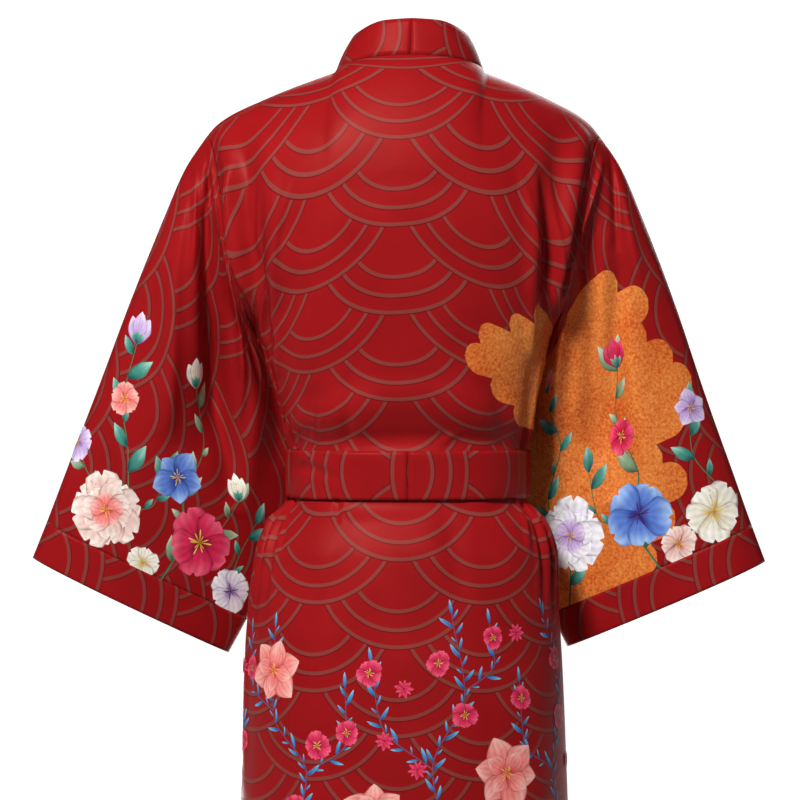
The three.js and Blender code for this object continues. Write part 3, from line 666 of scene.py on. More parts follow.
def body_rows():
    upper = even(0, BELT_TOP, BODY_STEP)
    middle = even(BELT_TOP, BELT_BOTTOM, BODY_STEP)
    below = even(BELT_BOTTOM, FINE_END, BODY_STEP)
    lower = even(FINE_END, HEM, SKIRT_STEP)
    return np.concatenate([upper, middle[1:], below[1:], lower[1:]])


# Power of the curve in which the pattern's level lines drop from centre to side on the upper body
PATTERN_SAG = 2.97
BLOUSE = 16  # cloth taken up under the belt


def pattern_y(u, t, side):
    """Place down the cloth that shows at (u, t)."""
    level = np.maximum(t, YOKE_DEPTH)
    drop = curve_value(BODY, side + "_z", level) - curve_value(BODY, "side_z", level)
    across = np.abs(u)
    slack = drop * (across**SAG - across**PATTERN_SAG) * np.minimum(t / YOKE_DEPTH, 1)
    return t + slack + BLOUSE * smooth((t - BELT_TOP) / (BELT_BOTTOM - BELT_TOP))


def make_back():
    t = body_rows()[:, None]
    u = even(-1, 1, BODY_STEP / HALF_WIDTH)[None, :]
    points = grid_of(lambda t, u: body_point(u, t, "back"), t, u)
    cut = stack(u * half_width_at(t), pattern_y(u, t, "back"))
    return Panel("back", points, cut, flip=True)


def make_front(name, hand):
    t = body_rows()[:, None]
    share = even(0, 1, BODY_STEP / FRONT_SPAN)[None, :]
    u = mix(edge_u(t), 1, share)
    points = grid_of(lambda t, u: front_point(u, t, hand), t, u)
    cut = stack(u * half_width_at(t) * hand, pattern_y(u, t, "front"))
    return Panel(name, points, cut, flip=hand == RIGHT)


def make_sleeve(name, hand, start, end):
    s = even(start, end, SLEEVE_STEP / SLEEVE_SPAN)[:, None]
    around = int(round(2 * SLEEVE_ROUND / SLEEVE_STEP))
    c = (2 * np.arange(around) / around)[None, :]
    points = grid_of(lambda s, c: sleeve_point(s, c, hand), s, c)
    return Panel(name, points, None, closed=True, flip=hand == RIGHT)


def sleeve_cut(panel, end_to_mouth):
    """Cut places of a sleeve: x up from its mouth and y round from its top edge on both faces."""
    points = panel.points
    along = np.linalg.norm(np.diff(points, axis=0), axis=2)
    rest = np.cumsum(along[::-1], axis=0)[::-1]
    x = np.concatenate([rest, np.zeros((1, points.shape[1]))]) + end_to_mouth
    ring = np.linalg.norm(np.diff(points, axis=1, append=points[:, :1]), axis=2)
    far = np.cumsum(ring, axis=1)
    y = np.concatenate([np.zeros((len(points), 1)), far[:, :-1]], axis=1)
    y = np.minimum(y, far[:, -1:] - y)
    panel.cut = stack(x, y)


# Where the wave pattern is cut by the bands' middle seams, in millimetres
NECKBAND_PHASE = {"across": 27, LEFT: 84.5, RIGHT: 38}
BELT_PHASE = {"across": 22, LEFT: -20, RIGHT: 26}
SEAM_DIP = 0.8
SEAM_DIP_RUN = 2


def make_neckband(name, hand):
    across = np.linspace(0, 1, BAND_COLUMNS)
    neck_u = even(0, NECK_HALF_WIDTH / HALF_WIDTH, BODY_STEP / HALF_WIDTH)
    t = body_rows()[1:]
    neck_seam = body_point(neck_u * hand, np.zeros(len(neck_u)), "back")
    neck_free = collar_free(np.linspace(0, 1, len(neck_u)), hand)
    front_seam = front_point(edge_u(t), t, hand)
    flat = front_point(free_edge_u(t), t, hand)
    blend = smooth(t / COLLAR_END)
    standing = collar_free(mix(1, COLLAR["share"][-1], t / COLLAR_END), hand)
    front_free = mix(standing, flat, blend[:, None])
    seam = np.concatenate([neck_seam, front_seam])
    free = np.concatenate([neck_free, front_free])
    points = seam[:, None] + (free - seam)[:, None] * across[None, :, None]
    flat_u = mix(edge_u(t)[:, None], free_edge_u(t)[:, None], across[None, :])
    lying = grid_of(lambda t, u: front_point(u, t, hand), t[:, None], flat_u)
    on_front = points[len(neck_u):]
    points[len(neck_u):] = mix(on_front, lying, blend[:, None, None])
    panel = Panel(name, points, None, flip=hand == LEFT)
    rows = np.arange(len(points))
    start = np.minimum(rows * BODY_STEP / CROWN_RUN, 1)[:, None]
    dip = SEAM_DIP * np.exp(-rows * BODY_STEP / SEAM_DIP_RUN)[:, None]
    rise = BAND_CROWN * np.sin(math.pi * across)[None, :] * start - dip
    points += grid_normals(panel) * rise[:, :, None]
    length = np.linalg.norm(np.diff(points[:, 0], axis=0), axis=1)
    along = np.concatenate([[0], np.cumsum(length)])
    across = across[None, :] * BAND_WIDTH - NECKBAND_PHASE["across"]
    panel.cut = stack(across, NECKBAND_PHASE[hand] - along[:, None])
    return panel


def make_belt(name, hand):
    w = np.linspace(0, 1, BELT_ROWS)[:, None]
    q = even(0, 1, BELT_STEP / BELT_SPAN)[None, :]
    points = grid_of(lambda w, q: belt_point(q, w, hand, BELT["wall"]), w, q)
    length = np.linalg.norm(np.diff(points[BELT_ROWS // 2], axis=0), axis=1)
    along = np.concatenate([[0], np.cumsum(length)])[None, :]
    cut = stack(w * (BELT_BOTTOM - BELT_TOP) - BELT_PHASE["across"], BELT_PHASE[hand] + along)
    return Panel(name, points, cut, flip=hand == LEFT)


def make_tail(name, hand):
    w = even(0, 1, TAIL_STEP / TAIL["length"])[:, None]
    k = np.linspace(-1, 1, BAND_COLUMNS)[None, :]
    t = BELT_BOTTOM + TAIL["length"] * w
    half = mix(TAIL["top_half"], TAIL["end_half"], smooth(w / TAIL["widen_by"]))
    spread = TAIL["spread"] * smooth(w / TAIL["widen_by"] / 2)
    centre = hand * (TAIL["apart"] + spread + TAIL["lean"] * TAIL["length"] * w)
    wave = 1 + np.sin(math.pi * (TAIL["curls"] * w + TAIL["lag"] * hand))
    curl = TAIL["curl"] * (1 - TAIL["cup"] * k * k) * wave
    emerge = TAIL["emerge"] * (1 - smooth(w / TAIL["widen_by"]))
    u = (centre + half * k) / half_width_at(t)
    points = grid_of(lambda t, u: front_point(u, t, LEFT), t, u)
    points[..., 1] -= TAIL["stand_off"] + TAIL["wall"] + curl + emerge
    cut = stack(half * k, TAIL["length"] * w)
    return Panel(name, points, cut)


def grid_normals(panel):
    """Outward normals of a panel's points."""
    points = panel.points
    if panel.closed:
        points = np.concatenate([points[:, -1:], points, points[:, :1]], axis=1)
    down = np.gradient(points, axis=0)
    across = np.gradient(points, axis=1)
    normal = unit(np.cross(down, across)) * (-1 if panel.flip else 1)
    return normal[:, 1:-1] if panel.closed else normal


def mesh_object(name, points, faces, uvs=None):
    """A mesh object in metres from points in millimetres, with one UV place for each point."""
    mesh = bpy.data.meshes.new(name)
    mesh.from_pydata((points.reshape(-1, 3) * MM).tolist(), [], faces.tolist())
    if uvs is not None:
        layer = mesh.uv_layers.new(name="cut")
        corner_points = np.empty(len(mesh.loops), dtype=np.int32)
        mesh.loops.foreach_get("vertex_index", corner_points)
        layer.data.foreach_set("uv", (uvs.reshape(-1, 2) * MM)[corner_points].ravel())
    mesh.shade_smooth()
    piece = bpy.data.objects.new(name, mesh)
    bpy.context.scene.collection.objects.link(piece)
    return piece


def dress(piece, material, slot, nodes=()):
    """Gives a piece its material and its body, and hides the nodes that it stands for. Its slot is not
    used.
    """
    piece.data.materials.append(material)
    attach(piece, "root")
    if nodes:
        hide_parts(*nodes)
    return piece


def cloth_object(panel, nodes, slot, thickness, material):
    """The visible piece for some nodes: the panel as a thin shell inside its outer surface."""
    piece = mesh_object(panel.name + "_cloth", panel.points, panel.faces(), panel.cut)
    shell = piece.modifiers.new("thickness", "SOLIDIFY")
    shell.thickness = thickness * MM
    shell.offset = -1
    shell.use_quality_normals = True
    return dress(piece, material, slot, nodes)


def knot_points():
    """A lump of wrapped cloth, with folds that run from its lower edge over to its upper one."""
    front = belt_point(np.array([1.0]), np.array([0.5]), LEFT, BELT["wall"])[0]
    centre = front - [0, KNOT["half_depth"] + KNOT["off_belt"], 0]
    turn = (2 * math.pi * np.arange(KNOT["around"]) / KNOT["around"])[None, :]
    rise = np.linspace(-math.pi / 2, math.pi / 2, KNOT["rings"])[:, None]
    x = np.cos(rise) * np.cos(turn)
    y = np.cos(rise) * np.sin(turn)
    z = np.sin(rise) * np.ones_like(turn)

    def squared(value):
        return np.sign(value) * np.abs(value) ** KNOT["squareness"]

    folds = KNOT_FOLDS
    slant = folds["lean"] * x + folds["rise"] * z + folds["sway"] * np.sin(folds["sways"] * z)
    pleat = folds["depth"] * np.sin(slant * folds["pace"]) * np.clip(-y, 0, 1) ** 0.5
    waist = 1 - folds["waist"] * np.cos(math.pi * x) * (1 - np.abs(z))
    shape = stack(
        KNOT["half_width"] * squared(x) * (1 - KNOT["narrowing"] * z) * KNOT["shrink"],
        KNOT["half_depth"] * squared(y) * np.where(y < 0, waist, 1) * (KNOT["depth_shrink"] + pleat),
        KNOT["half_height"] * squared(z) * KNOT["shrink"],
    )
    return shape + centre


def knot_object(material):
    points = knot_points()
    panel = Panel("belt_knot", points, None, closed=True)
    cut = stack(points[..., 0] - points[..., 0].min(), points[..., 2])
    piece = mesh_object("belt_knot_cloth", points, panel.faces(), cut)
    return dress(piece, material, "belt_satin", ["belt_knot"])


def flat_size(panel):
    """Width, length and area of the cloth as it was cut, in metres. A tube counts all round."""
    low = panel.cut.min(axis=(0, 1)) * MM
    high = panel.cut.max(axis=(0, 1)) * MM
    width, length = high - low
    if panel.closed:
        length *= 2
        points = np.concatenate([panel.points, panel.points[:, :1]], axis=1) * MM
    else:
        points = np.concatenate([panel.cut, 0 * panel.cut[..., :1]], axis=2) * MM
    one = points[1:, 1:] - points[:-1, :-1]
    other = points[1:, :-1] - points[:-1, 1:]
    area = np.linalg.norm(np.cross(one, other), axis=2).sum() / 2
    return float(width), float(length), float(min(area, width * length))


class Nodes:
    """A new material, whose nodes it adds and joins."""

    def __init__(self, name):
        self.material = bpy.data.materials.new(name)
        self.material.use_nodes = True
        self.tree = self.material.node_tree
        self.tree.nodes.clear()
        self.output = self.tree.nodes.new("ShaderNodeOutputMaterial")

    def put(self, socket, value):
        if isinstance(value, bpy.types.NodeSocket):
            self.tree.links.new(value, socket)
        else:
            socket.default_value = value

    def node(self, kind, settings=None, **inputs):
        made = self.tree.nodes.new(kind)
        for name, value in (settings or {}).items():
            setattr(made, name, value)
        for name, value in inputs.items():
            self.put(made.inputs[name.replace("_", " ")], value)
        return made

    def math(self, operation, *values):
        made = self.tree.nodes.new("ShaderNodeMath")
        made.operation = operation
        for i, value in enumerate(values):
            self.put(made.inputs[i], value)
        return made.outputs[0]

    def blend(self, factor, first, second, mode="MIX"):
        made = self.tree.nodes.new("ShaderNodeMix")
        made.data_type = "RGBA"
        made.blend_type = mode
        self.put(made.inputs[0], factor)
        self.put(made.inputs[6], first)
        self.put(made.inputs[7], second)
        return made.outputs[2]


# The wave pattern, in millimetres: overlapping fans in rows, each with a line near its rim and two
# more inside. Every line has a dark lower edge.
FAN_RADIUS = 92
FAN_ROW = 46
FAN_LINES = [88.9, 71.2, 51.6]
LINE_HALF = 1.95
EDGE_OFFSET = 2.5
EDGE_HALF = 0.6
ROBE_PATTERN_SHIFT = (-7, -32.3)
RED = (0.29, 0.0068, 0.0085)
LINE_RED = (0.225, 0.042, 0.034)
EDGE_RED = (0.16, 0.005, 0.008)
SATIN_TONE = (0.88, 1.06)
SATIN_ROUGHNESS = (0.36, 0.44)
SATIN_TINT = (1.0, 0.3, 0.26, 1)
RELIEF = 0.0004


def fan_distance(nodes, x, y, row):
    """Distance from the centre of the fan in one row that lies nearest."""
    shift = nodes.math("MULTIPLY", nodes.math("FLOORED_MODULO", row, 2.0), float(FAN_RADIUS))
    dx = nodes.math("WRAP", nodes.math("SUBTRACT", x, shift), float(FAN_RADIUS), float(-FAN_RADIUS))
    dy = nodes.math("SUBTRACT", y, nodes.math("MULTIPLY", row, float(FAN_ROW)))
    squares = nodes.math("ADD", nodes.math("MULTIPLY", dx, dx), nodes.math("MULTIPLY", dy, dy))
    return nodes.math("SQRT", squares)


def wave_lines(nodes, x, y):
    """Masks of the wave pattern's lines and of their dark lower edges. Upper rows lie over lower ones."""
    above = nodes.math("SUBTRACT", y, float(FAN_RADIUS))
    first = nodes.math("CEIL", nodes.math("DIVIDE", above, float(FAN_ROW)))
    rows = [first, nodes.math("ADD", first, 1.0), nodes.math("ADD", first, 2.0)]
    radii = [fan_distance(nodes, x, y, row) for row in rows]
    radius = radii[2]
    for upper in (radii[1], radii[0]):
        inside = nodes.math("LESS_THAN", upper, float(FAN_RADIUS))
        step = nodes.math("SUBTRACT", upper, radius)
        radius = nodes.math("MULTIPLY_ADD", inside, step, radius)

    def rings(offset, half):
        found = [nodes.math("COMPARE", radius, float(place + offset), half) for place in FAN_LINES]
        return nodes.math("MAXIMUM", nodes.math("MAXIMUM", found[0], found[1]), found[2])

    return rings(0, LINE_HALF), rings(EDGE_OFFSET, EDGE_HALF)


def finish_cloth(nodes, colour, height, bump, roughness, specular):
    """Ends a cloth material in one shader, with a fine relief of the given height."""
    relief = nodes.node("ShaderNodeBump", Strength=bump, Distance=RELIEF, Height=height)
    shader = nodes.node("ShaderNodeBsdfPrincipled", Base_Color=colour, Normal=relief.outputs["Normal"])
    nodes.put(shader.inputs["Roughness"], roughness)
    nodes.put(shader.inputs["Specular IOR Level"], specular)
    nodes.put(nodes.output.inputs["Surface"], shader.outputs["BSDF"])
    return shader


def satin_material(name, shift=(0, 0)):
    """Printed satin: wave pattern, slow unevenness of colour, a fine weave and soft shine."""
    nodes = Nodes(name)
    cut = nodes.node("ShaderNodeUVMap", {"uv_map": "cut"}).outputs["UV"]
    parts = nodes.node("ShaderNodeSeparateXYZ", Vector=cut)
    x = nodes.math("MULTIPLY_ADD", parts.outputs["X"], 1000.0, float(shift[0]))
    y = nodes.math("MULTIPLY_ADD", parts.outputs["Y"], 1000.0, float(shift[1]))
    lines, edges = wave_lines(nodes, x, y)
    colour = nodes.blend(lines, (*RED, 1), (*LINE_RED, 1))
    colour = nodes.blend(edges, colour, (*EDGE_RED, 1))
    cloudy = nodes.node("ShaderNodeTexNoise", Vector=cut, Scale=14.0, Detail=3.0).outputs["Fac"]

    def clouds(low, high):
        ranges = {"From_Min": 0.3, "From_Max": 0.7, "To_Min": low, "To_Max": high}
        return nodes.node("ShaderNodeMapRange", Value=cloudy, **ranges).outputs["Result"]

    colour = nodes.blend(1.0, colour, clouds(*SATIN_TONE), "MULTIPLY")
    weave = nodes.node(
        "ShaderNodeTexWave", {"wave_type": "BANDS", "bands_direction": "DIAGONAL"},
        Vector=cut, Scale=420.0, Distortion=1.5, Detail=1.0, Detail_Scale=3.0,
    )
    slub = nodes.node("ShaderNodeTexNoise", Vector=cut, Scale=900.0, Detail=2.0)
    height = nodes.math("MULTIPLY_ADD", weave.outputs["Fac"], 0.5, slub.outputs["Fac"])
    roughness = clouds(*SATIN_ROUGHNESS)
    shader = finish_cloth(nodes, colour, height, bump=0.16, roughness=roughness, specular=0.11)
    shader.inputs["Specular Tint"].default_value = SATIN_TINT
    shader.inputs["Anisotropic"].default_value = 0.35
    return nodes.material


# How far the print lies off the cloth, and by how much more with each shape laid on it
LEVELS = {
    "mist": (0.3, 0.002),
    "leaf": (0.36, 0.004),
    "flower": (0.62, 0.02),
    "top_flower": (1.2, 0.02),
}
SEAM_SLACK = 0.3  # a place this far off the panel's cut lies beyond a seam


class Chart:
    """Lays drawn shapes on a panel, from cut places in millimetres."""

    def __init__(self, panel):
        self.cut = panel.cut
        self.points = panel.points
        self.normals = grid_normals(panel)
        if panel.closed:
            self.open_underarm()
        self.level("leaf")
        self.laid = []
        self.count = 0
        rows, across = self.cut.shape[:2]
        index = np.arange(rows * across).reshape(rows, across)
        self.quads = quads_of(index)
        flat = np.concatenate([self.cut.reshape(-1, 2), np.zeros((rows * across, 1))], axis=1)
        self.flat = [Vector(place) for place in flat.tolist()]
        self.tree = BVHTree.FromPolygons(self.flat, self.quads.tolist())

    def open_underarm(self):
        """Opens a sleeve along its underarm: places round it are negative on the front face."""
        around = self.cut.shape[1]
        order = np.arange(around // 2, around // 2 + around + 1) % around
        self.cut = self.cut[:, order].copy()
        self.points = self.points[:, order]
        self.normals = self.normals[:, order]
        self.cut[:, : around // 2 + 1, 1] *= -1

    def level(self, name):
        self.base, self.step = LEVELS[name]
        self.height = self.base

    def restart(self):
        """Back to the level's own height, for a flower beside the last one."""
        self.height = self.base

    def lay(self, places, petal, colours):
        """Adds a grid of cut places, with its places on the petal and its colours."""
        self.height += self.step
        points = self.points.reshape(-1, 3)
        normals = self.normals.reshape(-1, 3)
        on_cloth = []
        facing = []
        beyond = []
        for x, y in places.reshape(-1, 2).tolist():
            here, _, face, distance = self.tree.find_nearest(Vector((x, y, 0)))
            beyond.append(distance > SEAM_SLACK)
            corners = self.quads[face]
            weights = np.array(poly_3d_calc([self.flat[i] for i in corners], here))
            normal = unit(weights @ normals[corners])
            on_cloth.append(weights @ points[corners] + normal * self.height)
            facing.append(normal)
        rows, columns = places.shape[:2]
        quads = quads_of(np.arange(rows * columns).reshape(rows, columns))
        quads = quads[~np.array(beyond)[quads].all(axis=1)]
        petal = np.broadcast_to(petal, places.shape).reshape(-1, 2)
        colours = np.broadcast_to(colours, places.shape[:2] + (3,)).reshape(-1, 3)
        self.laid.append((np.array(on_cloth), np.array(facing), quads + self.count, petal, colours))
        self.count += rows * columns

    def make(self, name, material):
        points, facing, faces, petals, colours = (np.concatenate(parts) for parts in zip(*self.laid))
        corners = points[faces]
        turned = np.cross(corners[:, 1] - corners[:, 0], corners[:, 2] - corners[:, 1])
        backwards = (turned * facing[faces[:, 0]]).sum(axis=1) < 0
        faces[backwards] = faces[backwards][:, ::-1]
        piece = mesh_object(name, points, faces, petals / MM)
        dye = piece.data.color_attributes.new("dye", "FLOAT_COLOR", "POINT")
        dye.data.foreach_set("color", np.concatenate([colours, np.ones((len(colours), 1))], axis=1).ravel())
        piece.data.normals_split_custom_set_from_vertices(facing.tolist())
        piece.visible_shadow = False
        return dress(piece, material, "robe_satin")


# Outline of each kind of petal or leaf: half width along it, from its root to its tip
PETAL_OUTLINES = {
    "round": [(0, 0.1), (0.2, 0.27), (0.55, 0.5), (0.85, 0.44), (1, 0.12)],
    "pointed": [(0, 0.08), (0.25, 0.25), (0.55, 0.33), (0.85, 0.17), (1, 0.01)],
    "slim": [(0, 0.04), (0.3, 0.09), (0.7, 0.14), (0.9, 0.1), (1, 0.02)],
    "leaf": [(0, 0.03), (0.3, 0.18), (0.55, 0.19), (0.85, 0.08), (1, 0.005)],
    "blade": [(0, 0.02), (0.35, 0.1), (0.65, 0.09), (0.9, 0.04), (1, 0.004)],
}
PETALS = {kind: table(["along", "half"], rows) for kind, rows in PETAL_OUTLINES.items()}
PETAL_STEP = 3
PETAL_COLUMNS = 9
NOTCH_WIDTH = 0.4
MIST_STEP = 3
MIST_ACROSS = 19
DYE_MIDDLE = 0.45
# Dyes: at a petal's root, its middle and its tip
DYES = {
    "coral": ((0.55, 0.03, 0.04), (0.84, 0.22, 0.20), (0.90, 0.46, 0.40)),
    "blush": ((0.36, 0.06, 0.07), (0.80, 0.50, 0.44), (0.90, 0.76, 0.68)),
    "crimson": ((0.20, 0.004, 0.02), (0.62, 0.02, 0.08), (0.80, 0.10, 0.18)),
    "cream": ((0.50, 0.36, 0.16), (0.82, 0.76, 0.62), (0.92, 0.88, 0.80)),
    "white": ((0.30, 0.16, 0.40), (0.78, 0.74, 0.84), (0.94, 0.93, 0.94)),
    "lilac": ((0.22, 0.08, 0.30), (0.54, 0.38, 0.66), (0.78, 0.66, 0.84)),
    "blue": ((0.02, 0.03, 0.24), (0.10, 0.20, 0.60), (0.34, 0.52, 0.86)),
    "sky_leaf": ((0.01, 0.05, 0.20), (0.04, 0.22, 0.48), (0.20, 0.56, 0.76)),
    "teal_leaf": ((0.01, 0.06, 0.06), (0.05, 0.24, 0.19), (0.34, 0.62, 0.50)),
    "sage_leaf": ((0.04, 0.09, 0.05), (0.22, 0.34, 0.20), (0.62, 0.68, 0.50)),
    "orange": ((0.64, 0.14, 0.026), (0.64, 0.14, 0.026), (0.64, 0.14, 0.026)),
    "stem": ((0.10, 0.02, 0.05), (0.18, 0.05, 0.09), (0.26, 0.10, 0.14)),
    "green_stem": ((0.01, 0.05, 0.03), (0.03, 0.13, 0.06), (0.07, 0.26, 0.12)),
    "stamen": ((0.40, 0.16, 0.01), (0.75, 0.45, 0.05), (0.92, 0.74, 0.20)),
    "dark_heart": ((0.02, 0.003, 0.03), (0.06, 0.01, 0.09), (0.14, 0.02, 0.18)),
}


def dye_at(dye, at):
    """Colours of a dye at places from 0, the root, to 1, the tip."""
    root, middle, tip = (np.array(colour) for colour in DYES[dye])
    at = np.clip(at, 0, 1)[..., None]
    lower = mix(root, middle, smooth(at / DYE_MIDDLE))
    return mix(lower, tip, smooth((at - DYE_MIDDLE) / (1 - DYE_MIDDLE)))


def draw_petal(chart, kind, dye, root, angle, length, broad=1.0, bend=0.0, notch=0.0, ruffle=0.0):
    """One petal or leaf from its root, at an angle in degrees from straight up on the cloth."""
    rows = max(6, int(length / PETAL_STEP) + 1)
    along = np.linspace(0, 1, rows)[:, None]
    across = np.linspace(-1, 1, PETAL_COLUMNS)[None, :]
    half = curve_value(PETALS[kind], "half", along) * length * broad
    half = half * (1 + ruffle * along * np.sin(9 * along + angle + np.sign(across)))
    reach = along * length * (1 - notch * np.exp(-((across / NOTCH_WIDTH) ** 2)) * along**6)
    side = half * across + bend * length * along * along
    turn = math.radians(angle)
    x = root[0] + side * math.cos(turn) + reach * math.sin(turn)
    y = root[1] + side * math.sin(turn) - reach * math.cos(turn)
    streak = 0.1 * np.cos(across * 2.6 + math.radians(angle * 3))
    streak = streak + 0.06 * np.sin(7 * across + angle) * along
    chart.lay(stack(x, y), stack(across, along), dye_at(dye, along * 0.95 + streak))


STEM_STEP = 4
LEAF_SPREAD = 44
LEAF_BREADTH = 1.15


def draw_stem(chart, dye, places, width):
    """A stem along a curve through a few places, thinner towards its end."""
    places = np.array(places, float)
    steps = np.concatenate([[0], np.cumsum(np.linalg.norm(np.diff(places, axis=0), axis=1))])
    route = table(["at", "x", "y"], [(at, *place) for at, place in zip(steps, places)])
    at = np.linspace(0, steps[-1], max(6, int(steps[-1] / STEM_STEP)))
    line = stack(curve_value(route, "x", at), curve_value(route, "y", at))
    way = unit(np.gradient(line, axis=0))
    normal = stack(-way[:, 1], way[:, 0])
    half = (width / 2 * (1 - 0.5 * at / steps[-1]))[:, None, None]
    across = np.array([-1.0, 0.0, 1.0])[None, :]
    colours = dye_at(dye, 0.5 + 0.5 * across + 0 * at[:, None])
    chart.lay(line[:, None] + normal[:, None] * half * across[..., None], (0, 0.5), colours)
    return line, way


def heading_of(way):
    """Angle in degrees from straight up on the cloth."""
    return math.degrees(math.atan2(way[0], -way[1]))


def draw_ring(chart, kind, dye, centre, radius, count, turn, **shape):
    """A ring of petals round a centre, uneven in size and lean."""
    for k in range(count):
        size = radius * (1 + 0.08 * math.sin(2.3 * k + turn))
        bend = 0.06 * math.sin(k * 1.9 + turn)
        draw_petal(chart, kind, dye, centre, turn + 360 * k / count, size, bend=bend, **shape)


def draw_stamens(chart, centre, reach, dye="stamen", turn=0.0):
    for k in range(11):
        angle = turn + 360 * k / 11 + 9 * math.sin(3 * k)
        size = reach * (0.75 + 0.25 * math.sin(2.1 * k))
        draw_petal(chart, "slim", dye, centre, angle, size, 0.45)


def draw_blossom(chart, centre, radius, dye, turn=0.0, heart="stamen"):
    """An open flower with five broad, ruffled petals."""
    chart.restart()
    draw_ring(chart, "round", dye, centre, radius, 5, turn, broad=1.12, notch=0.12, ruffle=0.05)
    draw_stamens(chart, centre, radius * 0.42, heart, turn)


def draw_bellflower(chart, centre, radius, dye, turn=0.0):
    chart.restart()
    draw_ring(chart, "pointed", dye, centre, radius, 5, turn, broad=1.45)
    draw_stamens(chart, centre, radius * 0.34, "stamen", turn)


def draw_peony(chart, centre, radius, dye, inner_dye, turn=0.0):
    """A full flower with three rings of ruffled petals."""
    chart.restart()
    draw_ring(chart, "round", dye, centre, radius, 8, turn, broad=0.95, notch=0.14, ruffle=0.07)
    draw_ring(chart, "round", dye, centre, radius * 0.72, 7, turn + 24, broad=1.0, notch=0.12, ruffle=0.07)
    draw_ring(chart, "round", inner_dye, centre, radius * 0.46, 5, turn + 51, broad=1.1, notch=0.1)
    draw_stamens(chart, centre, radius * 0.2, "stamen", turn)


def draw_magnolia(chart, centre, radius, dye, turn=0.0):
    """An open flower with long pointed petals in two rings."""
    chart.restart()
    draw_ring(chart, "pointed", dye, centre, radius, 6, turn, broad=1.2)
    draw_ring(chart, "pointed", dye, centre, radius * 0.7, 4, turn + 33, broad=1.25)
    draw_stamens(chart, centre, radius * 0.24, "stamen", turn)


def draw_bud(chart, root, heading, size, dye):
    """A closed flower seen from its side, with its green cup."""
    chart.restart()
    for lean in (-24, 22, 0):
        draw_petal(chart, "pointed", dye, root, heading + lean, size * (1 - abs(lean) / 200), 0.85)
    for lean in (-34, 32, 0):
        draw_petal(chart, "leaf", "teal_leaf", root, heading + lean, size * 0.42, 1.1)


def draw_cluster(chart, centre, radius, dye, turn=0.0):
    """A small shaggy flower head."""
    chart.restart()
    for share, count in ((1.0, 9), (0.66, 7), (0.36, 5)):
        draw_ring(chart, "pointed", dye, centre, radius * share, count, turn + 31 * share, broad=0.62)


def draw_spray(chart, places, stem_dye, leaf_dye, leaf, spacing, kind, width):
    """A stem with leaves on alternate sides."""
    line, way = draw_stem(chart, stem_dye, places, width)
    every = max(1, int(spacing / STEM_STEP))
    for number, k in enumerate(range(every, len(line) - 1, every)):
        side = 1 if number % 2 else -1
        size = leaf * (0.8 + 0.3 * math.sin(1.7 * number + places[0][0]))
        angle = heading_of(way[k]) + side * (LEAF_SPREAD + 12 * math.sin(number))
        draw_petal(chart, kind, leaf_dye, line[k], angle, size, LEAF_BREADTH, -0.14 * side)
    draw_petal(chart, kind, leaf_dye, line[-1], heading_of(way[-1]), leaf, LEAF_BREADTH)


def draw_mist(chart, bars, along_y):
    """Traditional mist bars with round ends, from their middle lines, ends and half depths."""
    chart.level("mist")
    for middle, start, end, half in zip(bars["middle"], bars["start"], bars["end"], bars["half"]):
        run = even(start, end, MIST_STEP)
        to_end = np.minimum(np.abs(run - start), np.abs(end - run))
        inside = np.clip(1 - to_end / half, 0, 1)
        reach = half * np.sqrt(np.maximum(1 - inside**2, 0.0004))
        across = middle + reach[:, None] * np.linspace(-1, 1, MIST_ACROSS)[None, :]
        run = run[:, None] + 0 * across
        places = stack(across, run) if along_y else stack(run, across)
        chart.lay(places, (0, MIST_MARK), DYES["orange"][0])


def print_face(chart, stems, flowers, top_flowers=()):
    """One face of a sleeve. Each stem has its leaf dye, leaf length, spacing, width and places. Each
    flower has the function that draws it and that function's values.
    """
    chart.level("leaf")
    for leaf_dye, leaf, spacing, width, places in stems:
        draw_spray(chart, places, "green_stem", leaf_dye, leaf, spacing, "leaf", width)
    for level, rows in (("flower", flowers), ("top_flower", top_flowers)):
        chart.level(level)
        for draw, *values in rows:
            draw(chart, *values)


def print_skirt(chart, twigs, magnolias, clusters, hand=LEFT):
    """Twigs with narrow leaves and small blossoms, with magnolias and small flower heads over them."""
    for places, blossoms in twigs:
        chart.level("leaf")
        draw_spray(chart, [(hand * x, y) for x, y in places], "stem", "sky_leaf", 17, 9, "blade", 1.6)
        chart.level("flower")
        for number, (x, y, radius) in enumerate(blossoms):
            draw_blossom(chart, (hand * x, y), radius, "crimson", 37 * number + hand * x)
    chart.level("top_flower")
    for x, y, radius, turn in magnolias:
        draw_magnolia(chart, (hand * x, y), radius, "coral", turn)
    for x, y in clusters:
        draw_cluster(chart, (hand * x, y), 10, "crimson", x)


MIST_MARK = -1.0  # place along a petal that tells the dye it is on mist
MIST_DYES = ((0.53, 0.066, 0.007, 1), (0.80, 0.275, 0.056, 1))
MIST_COLUMNS = ["middle", "start", "end", "half"]
SLEEVE_MIST = table(MIST_COLUMNS, [
    (60, 118, 300, 21),
    (92, 84, 300, 21),
    (124, 58, 300, 21),
    (156, 76, 300, 21),
    (188, 38, 300, 21),
    (220, 16, 300, 21),
    (252, 30, 300, 21),
    (284, 54, 300, 21),
    (316, 40, 250, 21),
    (348, 74, 200, 21),
])
SLEEVE_FRONT_MIST = table(MIST_COLUMNS, [(220, -170, -20, 21), (188, -216, -46, 21), (156, -190, -80, 21)])
BACK_MIST = table(MIST_COLUMNS, [
    (262, -270, -164, 18),
    (289, -270, -128, 18),
    (316, -270, -84, 18),
    (343, -270, -66, 18),
    (370, -270, -98, 18),
    (397, -250, -132, 18),
])
FRONT_MIST = table(MIST_COLUMNS, [(302, -270, -160, 18), (329, -270, -112, 18), (356, -270, -140, 18)])


